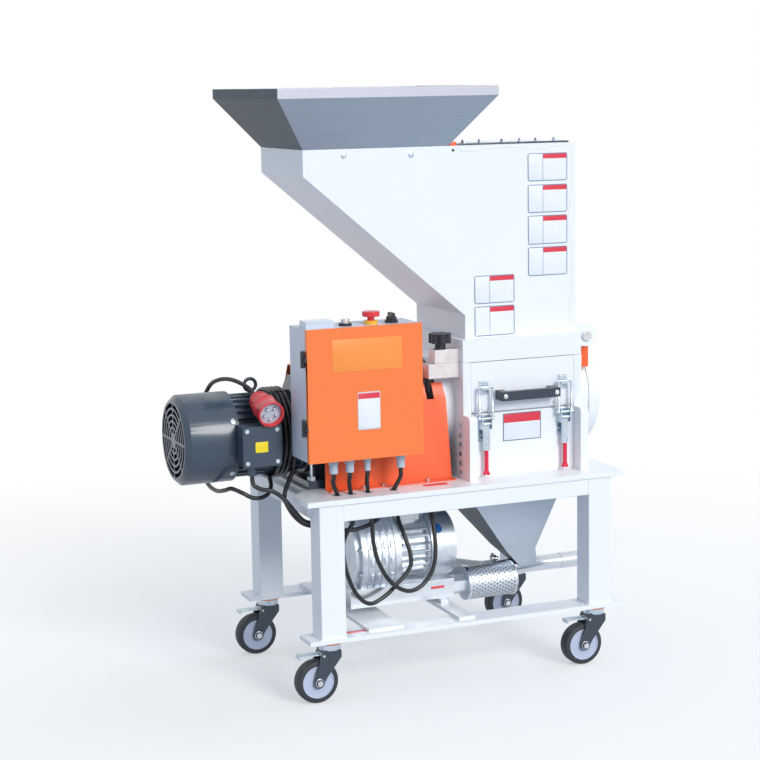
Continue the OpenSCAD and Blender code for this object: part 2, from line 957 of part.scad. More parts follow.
module caster_pedal() {
    half = pedal_w / 2;
    color(black) {
        block([-pedal_x - pedal_l, -half, pedal_z], [-pedal_x, half, pedal_z + pedal_t]);
        block([-pedal_x - pedal_l - pedal_t, -half, pedal_z - pedal_lip], [-pedal_x - pedal_l, half, pedal_z + pedal_t]);
        rod_y(-half, half, pedal_boss_r, -pedal_x, pedal_z);
        rod_y(-fork_in - fork_t, fork_in + fork_t, pedal_pin_r, -pedal_x, pedal_z);
    }
}

caster_fl = [-1, -1];
caster_fr = [1, -1];
caster_rl = [-1, 1];
caster_rr = [1, 1];

module caster_fork_fl() { at_caster(caster_fl) caster_fork(); }
module caster_fork_fr() { at_caster(caster_fr) caster_fork(); }
module caster_fork_rl() { at_caster(caster_rl) caster_fork(); }
module caster_fork_rr() { at_caster(caster_rr) caster_fork(); }
module wheel_fl() { at_caster(caster_fl) caster_wheel(); }
module wheel_fr() { at_caster(caster_fr) caster_wheel(); }
module wheel_rl() { at_caster(caster_rl) caster_wheel(); }
module wheel_rr() { at_caster(caster_rr) caster_wheel(); }
module brake_pedal_fl() { at_caster(caster_fl) caster_pedal(); }
module brake_pedal_fr() { at_caster(caster_fr) caster_pedal(); }
module brake_pedal_rl() { at_caster(caster_rl) caster_pedal(); }
module brake_pedal_rr() { at_caster(caster_rr) caster_pedal(); }

// The cutting chamber
module side_plates() {
    body_y = chamber_d / 2;
    outline = concat(
        [[-cheek_y, table_z], [cheek_y, table_z]],
        arc(cheek_y - cheek_round, seam_z - cheek_round, cheek_round, 0, 90, corner_steps),
        [[body_y, seam_z], [body_y, chamber_top], [-body_y, chamber_top], [-body_y, seam_z]],
        arc(-cheek_y + cheek_round, seam_z - cheek_round, cheek_round, 90, 180, corner_steps));
    color(white)
    at_frame()
        for (x = [chamber_x, in_r])
            difference() {
                slab_x(outline, x, x + plate_t);
                rod_x(x - over, x + plate_t + over, shaft_r + seal_gap, 0, rotor_z);
                rod_x(in_l - door_pin_l - over, in_r + door_pin_l + over, door_pin_r + run_gap, door_axis_y, door_axis_z);
            }
}

module lower_front_panel() {
    color(white)
    at_frame()
        block([in_l, chamber_front, table_z], [in_r, chamber_front + plate_t, seam_z]);
}

module rear_wall() {
    color(white)
    at_frame()
        block([in_l, wall_in, table_z], [in_r, wall_in + plate_t, chamber_top]);
}

module bearing_units() {
    shoulder = housing_l - bearing_w;
    left = chamber_x - housing_l;
    right = chamber_r_x + housing_l;
    at_frame() {
        color(white) {
            difference() {
                rod_x(left, chamber_x, housing_r, 0, rotor_z);
                rod_x(left - over, chamber_x, shaft_r + seal_gap, 0, rotor_z);
                rod_x(left + shoulder, chamber_x + over, bearing_r, 0, rotor_z);
            }
            difference() {
                rod_x(chamber_r_x, right, housing_r, 0, rotor_z);
                rod_x(chamber_r_x, right + over, shaft_r + seal_gap, 0, rotor_z);
                rod_x(chamber_r_x - over, chamber_r_x + bearing_w, bearing_r, 0, rotor_z);
            }
            difference() {
                rod_x(right, right + cap_l, cap_r, 0, rotor_z);
                rod_x(right - over, right + cap_l - cap_t, bearing_r, 0, rotor_z);
            }
        }
        color(steel)
            for (x = [chamber_x - bearing_w, chamber_r_x])
                difference() {
                    rod_x(x, x + bearing_w, bearing_r, 0, rotor_z);
                    rod_x(x - over, x + bearing_w + over, shaft_r + run_gap, 0, rotor_z);
                }
    }
}

module fixed_knives() {
    top = rotor_z - bed_drop + bed_knife_t;
    color(steel)
    at_frame()
        for (s = [-1, 1])
            translate([in_l, s > 0 ? rotor_r + knife_gap : -wall_in, top - bed_knife_t])
                cube([in_r - in_l, wall_in - rotor_r - knife_gap, bed_knife_t]);
}

module screen() {
    r_in = rotor_r + screen_gap;
    low = 270 - screen_half;
    high = 270 + screen_half;
    color(steel)
    at_frame()
        difference() {
            translate([0, 0, rotor_z])
                slab_x(concat(
                    arc(0, 0, r_in + screen_t, low, high, screen_steps),
                    arc(0, 0, r_in, high, low, screen_steps)), in_l, in_r);
            for (i = [0:screen_cols - 1], j = [0:screen_rows - 1])
                translate([in_l + (i + 1) * (in_r - in_l) / (screen_cols + 1), 0, rotor_z])
                    rotate([(j - (screen_rows - 1) / 2) * screen_angle, 0, 0])
                        translate([0, 0, -r_in - 2 * screen_t])
                            cylinder(h = 3 * screen_t, r = screen_hole_r);
        }
}

// Rotor
module at_knives() {
    step = (in_r - in_l) / rotor_discs;
    for (i = [0:rotor_discs - 1], row = [0:rotor_rows - 1])
        translate([in_l + (i + 1 / 2) * step, 0, rotor_z])
            rotate([row * 360 / rotor_rows + i * knife_stagger, 0, 0])
                translate([-rotor_knife_l / 2, -knife_t / 2, rotor_r - knife_depth])
                    children();
}

module rotor_shaft() {
    step = (in_r - in_l) / rotor_discs;
    color(dark_steel)
    at_frame()
        difference() {
            union() {
                rod_x(shaft_left, chamber_r_x + housing_l + shaft_out, shaft_r, 0, rotor_z);
                for (i = [0:rotor_discs - 1])
                    translate([in_l + (i + 1 / 2) * step - rotor_disc_t / 2, 0, 0])
                        rod_x(0, rotor_disc_t, rotor_disc_r, 0, rotor_z);
                rod_x(coupling_x, coupling_x + coupling_l, coupling_r, 0, rotor_z);
            }
            at_knives()
                cube([rotor_knife_l, knife_t, knife_depth]);
        }
}

module rotor_knives() {
    color(steel)
    at_frame()
        intersection() {
            at_knives()
                cube([rotor_knife_l, knife_t, knife_depth]);
            rod_x(in_l, in_r, rotor_r, 0, rotor_z);
        }
}

module output_gear() {
    lead = atan2(counter_z - rotor_z, counter_y) + 180 / gear_b;
    color(dark_steel)
    at_frame()
        difference() {
            gear(module_b, gear_b, lead, stage_b_x, stage_b_x + gear_b_w, 0, rotor_z);
            rod_x(stage_b_x - over, stage_b_x + gear_b_w + over, shaft_r, 0, rotor_z);
        }
}

module countershaft() {
    lead_a = atan2(motor_z - counter_z, -counter_y) + 180 / gear_a;
    lead_b = atan2(rotor_z - counter_z, -counter_y);
    color(dark_steel)
    at_frame() {
        rod_x(gearbox_left + case_wall / 2, gearbox_x - case_wall / 2, counter_r, counter_y, counter_z);
        difference() {
            gear(module_a, gear_a, lead_a, stage_a_x, stage_a_x + gear_a_w, counter_y, counter_z);
            rod_x(stage_a_x - over, stage_a_x + gear_a_w + over, counter_r, counter_y, counter_z);
        }
        difference() {
            gear(module_b, pinion_b, lead_b, stage_b_x, stage_b_x + gear_b_w, counter_y, counter_z);
            rod_x(stage_b_x - over, stage_b_x + gear_b_w + over, counter_r, counter_y, counter_z);
        }
    }
}

// Front door, its handle and its two latches
module front_door() {
    color(white)
    at_frame() {
        block([in_l + side_gap, chamber_front, door_axis_z], [in_r - side_gap, -wall_in, door_top]);
        rod_x(in_l + side_gap, in_r - side_gap, plate_t / 2, door_axis_y, door_axis_z);
        rod_x(in_l - door_pin_l, in_r + door_pin_l, door_pin_r, door_axis_y, door_axis_z);
    }
}

module door_fittings() {
    grip_y = chamber_front - handle_out;
    bar_z = bow_axis_z + bow_l;
    ledge_z = bar_z - bow_r - seat_gap;
    lip_y = latch_axis_y - bow_r - catch_lip_gap;
    at_frame() {
        color(black) {
            block([handle_x, grip_y, handle_z - handle_w / 2], [handle_x + handle_l, grip_y + handle_t, handle_z + handle_w / 2]);
            for (x = [handle_x, handle_x + handle_l - handle_post])
                block([x, grip_y, handle_z - handle_w / 2], [x + handle_post, chamber_front, handle_z + handle_w / 2]);
        }
        color(steel)
            for (x = latch_x) {
                block(
                    [x - catch_w / 2, chamber_front - catch_t, ledge_z - catch_h / 2],
                    [x + catch_w / 2, chamber_front, ledge_z + catch_h / 2]);
                block(
                    [x - catch_w / 2, lip_y - catch_lip_t, ledge_z - catch_ledge_t],
                    [x + catch_w / 2, chamber_front - catch_t, ledge_z]);
                block(
                    [x - catch_w / 2, lip_y - catch_lip_t, ledge_z],
                    [x + catch_w / 2, lip_y, ledge_z + catch_lip_h]);
            }
    }
}

module latch_bases() {
    plate_top = seam_z - latch_plate_t;
    color(steel)
    at_frame()
        for (x = latch_x) {
            block(
                [x - latch_plate_w / 2, chamber_front - latch_plate_t, plate_top - latch_plate_h],
                [x + latch_plate_w / 2, chamber_front, plate_top]);
            for (s = [-ear_in - ear_t, ear_in])
                block([x + s, chamber_front - ear_out, plate_top - ear_h], [x + s + ear_t, chamber_front, plate_top]);
            rod_x(x - ear_in - ear_t, x + ear_in + ear_t, latch_pin_r, latch_axis_y, lever_axis_z);
            rod_x(x - bow_half - bow_r, x + bow_half + bow_r, latch_pin_r, latch_axis_y, bow_axis_z);
            for (s = [-bow_half - bow_r - latch_head_t, bow_half + bow_r])
                rod_x(x + s, x + s + latch_head_t, latch_head_r, latch_axis_y, bow_axis_z);
        }
}

module latch_levers() {
    at_frame()
        for (x = latch_x) {
            color(steel)
                difference() {
                    union() {
                        block(
                            [x - lever_w / 2, latch_axis_y - lever_t / 2, lever_axis_z - lever_l],
                            [x + lever_w / 2, latch_axis_y + lever_t / 2, lever_axis_z]);
                        rod_x(x - lever_w / 2, x + lever_w / 2, lever_boss_r, latch_axis_y, lever_axis_z);
                    }
                    rod_x(x - lever_w, x + lever_w, latch_pin_r + run_gap, latch_axis_y, lever_axis_z);
                }
            color(crimson) {
                rod_z(lever_axis_z - lever_l - grip_l, lever_axis_z - lever_l, grip_r, x, latch_axis_y);
                for (s = [-1, 1])
                    translate([x, latch_axis_y, lever_axis_z - lever_l - grip_l])
                        rotate([0, s * grip_splay, 0])
                            translate([0, 0, -grip_fork])
                                cylinder(h = grip_fork, r = grip_r * grip_tip_share);
            }
        }
}

module latch_bows() {
    bar_z = bow_axis_z + bow_l;
    color(steel)
    at_frame()
        for (x = latch_x) {
            rod_x(x - bow_half, x + bow_half, bow_r, latch_axis_y, bar_z);
            for (s = [-bow_half, bow_half]) {
                translate([x + s, latch_axis_y, bar_z])
                    sphere(r = bow_r);
                difference() {
                    union() {
                        rod_z(bow_axis_z, bar_z, bow_r, x + s, latch_axis_y);
                        rod_x(x + s - bow_r, x + s + bow_r, bow_eye_r, latch_axis_y, bow_axis_z);
                    }
                    rod_x(x + s - 2 * bow_r, x + s + 2 * bow_r, latch_pin_r + run_gap, latch_axis_y, bow_axis_z);
                }
            }
        }
}

// Hopper, its hinge and its clamp
module hopper_body() {
    left = -hopper_reach;
    neck_top = flange_top + neck_h;
    end_low = hopper_top - hopper_end_h;
    slope = (end_low - neck_top) / (neck_x + hopper_reach);
    lift = sheet_t * sqrt(1 + slope * slope);
    inner_neck = neck_x + sheet_t;
    inner_left = left + sheet_t;
    inner_top = hopper_top - sheet_t;
    inner_right = hopper_r_x - sheet_t;
    inner_half = hopper_half - sheet_t;
    outline = [
        [neck_x, flange_top], [neck_x, neck_top], [left, end_low], [left, hopper_top],
        [hopper_r_x, hopper_top], [hopper_r_x, flange_top]];
    hollow = [
        [inner_neck, flange_top - over], [inner_neck, neck_top - slope * sheet_t + lift],
        [inner_left, end_low - slope * sheet_t + lift], [inner_left, inner_top],
        [inner_right, inner_top], [inner_right, flange_top - over]];
    color(white)
    at_frame()
        difference() {
            union() {
                slab_y(outline, -hopper_half, hopper_half);
                block([flange_x, chamber_front, hopper_z], [flange_r_x, -chamber_front, flange_top]);
                for (y = [-arm_y, arm_y - arm_t]) {
                    block([hopper_r_x, y, arm_low], [hinge_x, y + arm_t, arm_top]);
                    rod_y(y, y + arm_t, arm_r, hinge_x, hinge_z);
                }
                block(
                    [flange_x - upper_block_l, -clamp_y - clamp_d / 2, hopper_z],
                    [flange_x, -clamp_y + clamp_d / 2, hopper_z + upper_block_h]);
            }
            slab_y(hollow, -inner_half, inner_half);
            block([in_l + sheet_t, -inner_half, hopper_z - over], [in_r, inner_half, flange_top + over]);
            block(
                [inner_left, -inner_half, inner_top - over],
                [left + mouth_l - sheet_t, inner_half, hopper_top + over]);
            rod_y(-arm_y - over, arm_y + over, hinge_pin_r + run_gap, hinge_x, hinge_z);
            rod_z(hopper_z - over, hopper_z + upper_block_h + over, stud_r + run_gap, knob_x, -clamp_y);
        }
}

module feed_funnel() {
    flare_h = funnel_h - rim_h;
    band_z = hopper_top + flare_h;
    mouth = [-hopper_reach, -hopper_half, -hopper_reach + mouth_l, hopper_half];
    rim = inset(mouth, -funnel_flare);
    below = inset(mouth, over * funnel_flare / flare_h);
    rim_in = inset(rim, funnel_t);
    lip_in = inset(rim, rim_lip);
    top = band_z + rim_h;
    color(sheet_grey)
    at_frame()
        difference() {
            union() {
                frustum(mouth, hopper_top, rim, band_z);
                block([rim[0], rim[1], band_z], [rim[2], rim[3], top]);
            }
            frustum(inset(below, funnel_t), hopper_top - over, rim_in, band_z);
            block([rim_in[0], rim_in[1], band_z], [rim_in[2], rim_in[3], top - rim_lip_t]);
            block([lip_in[0], lip_in[1], band_z], [lip_in[2], lip_in[3], top + over]);
        }
}

module star_knob() {
    block_top = hopper_z + upper_block_h;
    low = block_top + side_gap;
    head = low + knob_neck_h;
    lobe_r = knob_r * lobe_share;
    at_frame() {
        color(steel)
            rod_z(chamber_top - stud_in, head, stud_r, knob_x, -clamp_y);
        color(black)
            difference() {
                union() {
                    rod_z(low, head, knob_neck_r, knob_x, -clamp_y);
                    rod_z(head, head + knob_h, knob_r - 2 * lobe_r / 3, knob_x, -clamp_y);
                    for (i = [0:knob_lobes - 1])
                        translate([knob_x, -clamp_y, head])
                            rotate([0, 0, i * 360 / knob_lobes])
                                translate([knob_r - lobe_r, 0, 0])
                                    cylinder(h = knob_h, r = lobe_r);
                }
                rod_z(low - over, head, stud_r, knob_x, -clamp_y);
            }
    }
}

module clamp_lower_block() {
    low = chamber_top - lower_block_h;
    switch_x = chamber_x - lower_block_l + switch_edge;
    at_frame() {
        color(steel)
            difference() {
                block(
                    [chamber_x - lower_block_l, -clamp_y - clamp_d / 2, low],
                    [chamber_x, -clamp_y + clamp_d / 2, chamber_top]);
                rod_z(chamber_top - stud_in - stud_gap, chamber_top + over, stud_r + stud_gap, knob_x, -clamp_y);
                rod_z(low - over, low + switch_l, switch_r, switch_x, switch_y);
            }
        color(dark_steel)
            rod_z(low, low + switch_l, switch_r, switch_x, switch_y);
    }
}

module hinge_lugs() {
    step_x = flange_r_x + lug_clear;
    lug_in = arm_y - arm_t - lug_gap - lug_t;
    color(orange)
    at_frame()
        for (s = [-1, 1]) {
            y = s < 0 ? -lug_in - lug_t : lug_in;
            difference() {
                union() {
                    slab_y([
                        [chamber_r_x, lug_low], [hinge_x + lug_head_r, lug_low], [hinge_x + lug_head_r, hinge_z],
                        [step_x, hinge_z], [step_x, chamber_top - side_gap], [chamber_r_x, chamber_top - side_gap]],
                        y, y + lug_t);
                    rod_y(y, y + lug_t, lug_head_r, hinge_x, hinge_z);
                }
                rod_y(y - over, y + lug_t + over, hinge_pin_r, hinge_x, hinge_z);
            }
        }
    color(steel)
    at_frame()
        for (s = [-1, 1]) {
            inner = s * (lug_in - pin_head_t);
            outer = s * (arm_y + side_gap + pin_head_t);
            rod_y(min(inner, outer), max(inner, outer), hinge_pin_r, hinge_x, hinge_z);
            for (y = [inner, outer - s * pin_head_t])
                rod_y(min(y, y + s * pin_head_t), max(y, y + s * pin_head_t), pin_head_r, hinge_x, hinge_z);
        }
}

// Drive
module drive_guard() {
    out = guard_y + guard_t / 2;
    crease = table_z + guard_crease_h;
    top = table_z + guard_top_h;
    notch = table_z + guard_notch_h;
    fold = guard_t / 2;
    slot_x = chamber_x - lower_block_l + switch_edge;
    color(orange)
    at_frame()
        difference() {
            union() {
                slab_x([
                    [-out, table_z], [out, table_z], [out, crease], [guard_top_y, top], [-guard_top_y, top],
                    [-out, crease]], guard_x, guard_right);
                block([guard_x, -out - guard_flange, table_z], [guard_right, out + guard_flange, table_z + guard_t]);
            }
            slab_x([
                [-out + guard_t, table_z - over], [out - guard_t, table_z - over], [out - guard_t, crease - fold],
                [guard_top_y - fold, top - guard_t], [-guard_top_y + fold, top - guard_t],
                [-out + guard_t, crease - fold]], guard_x - over, guard_right + over);
            block([guard_notch_x, -out - over, notch], [guard_right + over, out + over, top + over]);
            slab_y([
                [guard_right, table_z + guard_t], [guard_right + over, table_z + guard_t],
                [guard_right + over, top], [guard_top_x, top], [guard_top_x, notch]], -out - over, out + over);
            block([slot_x - switch_r, -out - over, crease], [slot_x + switch_r, -guard_top_y, top]);
        }
}

module gearbox_housing() {
    low = table_z + foot_t;
    top = rotor_z + case_top;
    w = case_wall;
    color(motor_blue)
    at_frame()
        difference() {
            union() {
                slab_x([
                    [-case_front, low], [case_back, low], [case_back, top - case_chamfer],
                    [case_back - case_chamfer, top], [-case_front + case_chamfer, top],
                    [-case_front, top - case_chamfer]], gearbox_left, gearbox_x);
                block([foot_x, -foot_front, table_z], [gearbox_x, foot_back, low]);
            }
            slab_x([
                [-case_front + w, low + w], [case_back - w, low + w], [case_back - w, top - case_chamfer],
                [case_back - case_chamfer, top - w], [-case_front + case_chamfer, top - w],
                [-case_front + w, top - case_chamfer]], gearbox_left + w, gearbox_x - w);
            rod_x(gearbox_x - w - over, gearbox_x + over, shaft_r + run_gap, 0, rotor_z);
            rod_x(gearbox_left - over, gearbox_left + w + over, motor_shaft_r + run_gap, 0, motor_z);
            rod_x(
                gearbox_left + w / 2 - side_gap, gearbox_x - w / 2 + side_gap,
                counter_r + run_gap, counter_y, counter_z);
            for (y = [-foot_bolt_y, foot_bolt_y])
                rod_z(table_z - over, low + over, foot_bolt_r, foot_bolt_x, y);
        }
}

// The flat that the terminal box needs in the motor's end ring and in the cowl's rim
module term_notch(right) {
    block(
        [term_x - lid_lap, -cowl_r - over, term_z - lid_lap],
        [right + over, -pad_y, term_z + term_h + lid_lap]);
}

module motor_housing() {
    body_right = motor_right - adapter_t;
    ring_z = motor_z + fin_r + eyebolt_lift;
    color(motor_blue)
    at_frame() {
        difference() {
            union() {
                rod_x(motor_left, body_right, core_r, 0, motor_z);
                rod_x(motor_left, motor_left + cowl_lap, cowl_r - cowl_t, 0, motor_z);
                rod_x(body_right - end_bell_t, body_right, core_r + bell_step, 0, motor_z);
                rod_x(body_right, motor_right, adapter_r, 0, motor_z);
                for (i = [0:fins - 1])
                    translate([0, 0, motor_z])
                        rotate([i * 360 / fins, 0, 0])
                            translate([motor_left, -fin_t / 2, core_r - over])
                                cube([body_right - end_bell_t - motor_left, fin_t, fin_r - core_r + over]);
                block(
                    [term_x + term_edge, -pad_y, term_z + term_edge],
                    [term_x + term_w - term_edge, -core_r / 2, term_z + term_h - term_edge]);
                rod_z(motor_z + core_r / 2, ring_z - eyebolt_r, eyebolt_wire + over, term_x + term_w - eyebolt_back, 0);
            }
            rod_x(motor_left + end_bell_t, body_right - end_bell_t, stator_r, 0, motor_z);
            term_notch(motor_left + cowl_lap);
            rod_x(motor_left - over, motor_right + over, motor_shaft_r + run_gap, 0, motor_z);
        }
        translate([term_x + term_w - eyebolt_back, 0, ring_z])
            rotate([90, 0, 0])
                rotate_extrude()
                    translate([eyebolt_r, 0])
                        circle(r = eyebolt_wire);
    }
}

// Rings and spokes across the end of a fan cowl, from x0 to x1
module grille(x0, x1, r, z) {
    pitch = (r - grille_hub_r) / grille_rings;
    difference() {
        rod_x(x0, x1, r, 0, z);
        for (k = [0:grille_rings - 1])
            difference() {
                rod_x(x0 - over, x1 + over, grille_hub_r + (k + 1) * pitch - grille_bar, 0, z);
                rod_x(x0 - 2 * over, x1 + 2 * over, grille_hub_r + k * pitch, 0, z);
                for (i = [0:grille_spokes - 1])
                    translate([x0 - 2 * over, 0, z])
                        rotate([i * 360 / grille_spokes, 0, 0])
                            translate([0, -grille_bar / 2, 0])
                                cube([x1 - x0 + 4 * over, grille_bar, r]);
            }
    }
}

module fan_cowl() {
    right = motor_left + cowl_lap;
    color(motor_blue)
    at_frame() {
        difference() {
            union() {
                rod_x(cowl_left + cowl_round, right, cowl_r, 0, motor_z);
                translate([cowl_left, 0, motor_z])
                    rotate([0, 90, 0])
                        cylinder(h = cowl_round, r1 = cowl_r - cowl_round, r2 = cowl_r);
            }
            rod_x(cowl_left + cowl_round, right + over, cowl_r - cowl_t, 0, motor_z);
            translate([cowl_left + cowl_t, 0, motor_z])
                rotate([0, 90, 0])
                    cylinder(h = cowl_round - cowl_t, r1 = cowl_r - cowl_round, r2 = cowl_r - cowl_t);
            rod_x(cowl_left - over, cowl_left + cowl_round, cowl_r - cowl_round - cowl_t, 0, motor_z);
            term_notch(right);
        }
        grille(cowl_left, cowl_left + cowl_t, cowl_r - cowl_round - cowl_t, motor_z);
    }
}

module terminal_box() {
    front = term_y + term_lid_t;
    at_frame()
        color(motor_blue) {
            block([term_x, front, term_z], [term_x + term_w, -pad_y, term_z + term_h]);
            block(
                [term_x - lid_lap, term_y, term_z - lid_lap],
                [term_x + term_w + lid_lap, front, term_z + term_h]);
            rod_z(term_gland_z, term_z, term_gland_r, term_gland_x, term_gland_y);
            for (x = [term_x + term_edge, term_x + term_w - term_edge], z = [term_z + term_edge, term_z + term_h - term_edge])
                rod_y(term_y - screw_out, term_y, term_screw_r, x, z);
        }
}

module motor_rotor() {
    lead = atan2(counter_z - motor_z, counter_y);
    shaft_right = gearbox_left + case_wall + gear_gap;
    color(dark_steel)
    at_frame() {
        rod_x(fan_x - over, shaft_right, motor_shaft_r, 0, motor_z);
        rod_x(shaft_right, stage_a_x + gear_a_w, pinion_hub_r, 0, motor_z);
        rod_x(motor_left + end_bell_t + gear_gap, motor_right - adapter_t - end_bell_t - gear_gap, stator_r - air_gap, 0, motor_z);
        difference() {
            gear(module_a, pinion_a, lead, stage_a_x, stage_a_x + gear_a_w, 0, motor_z);
            rod_x(stage_a_x - over, stage_a_x + gear_a_w + over, pinion_hub_r, 0, motor_z);
        }
        rod_x(fan_x + fan_l, fan_x + fan_l + fan_t, fan_r, 0, motor_z);
        for (i = [0:fan_blades - 1])
            translate([fan_x, 0, motor_z])
                rotate([i * 360 / fan_blades, 0, 0])
                    translate([0, -fan_t / 2, motor_shaft_r - fan_t])
                        cube([fan_l + over, fan_t, fan_r - motor_shaft_r]);
    }
}

// Control box
function box_hinge_z() = [for (s = box_hinge_share) box_z + s * box_h];

module control_box() {
    axis_x = box_x - box_hinge_out;
    third = box_hinge_h / 3;
    right = box_x + box_w;
    at_frame() {
        color(sheet_grey)
            difference() {
                block([box_x, box_front, box_z], [right, box_back, box_top]);
                block(
                    [box_x + box_t, box_front - over, box_z + box_t],
                    [right - box_t, box_back - box_t, box_top - box_t]);
                for (x = [start_x, stop_x, selector_x])
                    rod_z(box_top - box_t - over, box_top + over, collar_r + seat_gap, x, box_mid_y);
            }
        color(black)
            for (z = box_hinge_z()) {
                block([box_x - leaf_t, box_front + leaf_t, z], [box_x, box_front + box_leaf_w, z + box_hinge_h]);
                for (h = [z, z + 2 * third]) {
                    rod_z(h, h + third, box_hinge_r, axis_x, box_front);
                    block([axis_x, box_front, h], [box_x, box_front + box_hinge_r, h + third]);
                }
                rod_z(z, z + box_hinge_h, box_pin_r, axis_x, box_front);
            }
    }
}

module control_door() {
    axis_x = box_x - box_hinge_out;
    third = box_hinge_h / 3;
    back = box_front - door_gap;
    front = box_front - door_t;
    left = box_x - door_lap;
    right = box_x + box_w + door_lap;
    low = box_z - door_lap;
    top = box_top + door_lap;
    at_frame() {
        color(orange)
            difference() {
                block([left, front, low], [right, back, top]);
                block([left + box_t, front + box_t, low + box_t], [right - box_t, back + over, top - box_t]);
            }
        color(black)
            for (z = box_hinge_z())
                difference() {
                    union() {
                        rod_z(z + third + side_gap, z + 2 * third - side_gap, box_hinge_r, axis_x, box_front);
                        block(
                            [axis_x, front + door_gap, z + third + side_gap],
                            [left, front + door_gap + 2 * box_hinge_r - 2 * side_gap, z + 2 * third - side_gap]);
                    }
                    rod_z(z, z + box_hinge_h, box_pin_r + run_gap, axis_x, box_front);
                }
    }
}

// A bezel in the top of the box, with its contact block below and its bore from above
module bezel(x, head_r, head_h, bore_r, bore_depth) {
    block_top = box_top - box_t - collar_h;
    difference() {
        union() {
            rod_z(box_top, box_top + head_h, head_r, x, box_mid_y);
            rod_z(block_top, box_top, collar_r, x, box_mid_y);
            block(
                [x - contact_block / 2, box_mid_y - contact_block / 2, block_top - contact_h],
                [x + contact_block / 2, box_mid_y + contact_block / 2, block_top]);
        }
        rod_z(box_top - bore_depth, box_top + head_h + over, bore_r + button_hole_gap, x, box_mid_y);
    }
}

module switchgear() {
    plate_back = box_back - box_t - mount_plate_gap;
    plate_front = plate_back - mount_plate_t;
    rail_front = plate_front - rail_depth;
    left = box_x + plate_edge;
    right = box_x + box_w - plate_edge;
    low = box_z + plate_edge;
    top = box_top - plate_top_edge;
    rail_z = (low + top) / 2;
    pitch = contactor[0] + contactor_gap;
    at_frame() {
        color(steel) {
            block([left, plate_front, low], [right, plate_back, top]);
            for (x = [left + plate_edge, right - plate_edge], z = [low + plate_edge, top - plate_edge])
                rod_y(plate_back, box_back - box_t, standoff_r, x, z);
            block([left, rail_front, rail_z - rail_height / 2], [right, plate_front, rail_z + rail_height / 2]);
            bezel(start_x, bezel_r, bezel_h, start_r, start_bore);
            bezel(selector_x, bezel_r, bezel_h, start_r, start_bore);
            bezel(stop_x, stop_base_r, stop_base_h, stop_stem_r, stop_bore);
        }
        color(dark_steel)
            for (i = [0:contactors - 1])
                translate([left + contactor_gap + i * pitch, rail_front - contactor[1], rail_z - contactor[2] / 2])
                    cube(contactor);
        color(black)
            block(
                [meter_x, box_mid_y - meter_d / 2, box_top],
                [meter_x + meter_w, box_mid_y + meter_d / 2, box_top + meter_h]);
    }
}

module stop_button() {
    base = box_top + stop_base_h;
    head = base + stop_lift;
    color(crimson)
    at_frame() {
        rod_z(box_top - button_in, head, stop_stem_r, stop_x, box_mid_y);
        rod_z(head, head + stop_head_h, stop_r, stop_x, box_mid_y);
    }
}

module start_button() {
    color(cast_silver)
    at_frame()
        rod_z(box_top - button_in, box_top + bezel_h + start_h, start_r, start_x, box_mid_y);
}

module selector_switch() {
    low = box_top + bezel_h + side_gap;
    color(black)
    at_frame() {
        rod_z(box_top - button_in, low, start_r, selector_x, box_mid_y);
        rod_z(low, low + selector_h, selector_r, selector_x, box_mid_y);
        translate([selector_x - selector_bar[1] / 2, box_mid_y - selector_bar[0] / 2, low])
            cube([selector_bar[1], selector_bar[0], selector_bar[2] + selector_h]);
    }
}

module cable_glands() {
    nut_h_gland = gland_h * gland_nut_share;
    color(cast_silver)
    at_frame()
        for (i = [0:len(gland_x) - 1]) {
            translate([gland_x[i], gland_y, box_z - nut_h_gland])
                cylinder(h = nut_h_gland, r = gland_r[i], $fn = 6);
            rod_z(box_z - gland_h, box_z - nut_h_gland, gland_r[i] * gland_dome_share, gland_x[i], gland_y);
        }
}

// Blower
module blower_casing() {
    right = blower_x + channel_l;
    silencer_right = silencer_left + silencer_l;
    bar_top = rail_top + crossbar_t;
    foot_mid = crossbar_x[0];
    color(cast_silver)
    at_frame()
        difference() {
            union() {
                rod_x(blower_x, right, channel_r, 0, blower_z);
                rod_x(blower_x - cover_step, blower_x, channel_r - cover_in, 0, blower_z);
                for (y = silencer_y)
                    block(
                        [silencer_left, y - silencer_w / 2, silencer_z],
                        [silencer_right, y + silencer_w / 2, silencer_z + silencer_h]);
                block([foot_mid - foot_pad / 2, -blower_foot_half, bar_top], [foot_mid + foot_pad / 2, blower_foot_half, bar_top + blower_foot_h]);
                for (y = silencer_y)
                    block(
                        [crossbar_x[1] - foot_half, y - foot_half, bar_top],
                        [crossbar_x[1] + foot_half, y + foot_half, silencer_z]);
                rod_x(silencer_right, silencer_right + nipple_l, nipple_r, silencer_y[1], intake_z);
            }
            rod_x(blower_x + channel_wall, right - channel_wall, channel_r - channel_wall, 0, blower_z);
            for (y = silencer_y) {
                block(
                    [silencer_left + silencer_wall, y - silencer_w / 2 + silencer_wall, silencer_z + silencer_wall],
                    [silencer_right - silencer_wall, y + silencer_w / 2 - silencer_wall, silencer_z + silencer_h - silencer_wall]);
                rod_x(silencer_right - 2 * silencer_wall, silencer_right + nipple_l + over, port_r, y, intake_z);
            }
            rod_x(right - channel_wall - over, right + over, blower_shaft_r + run_gap, 0, blower_z);
        }
}

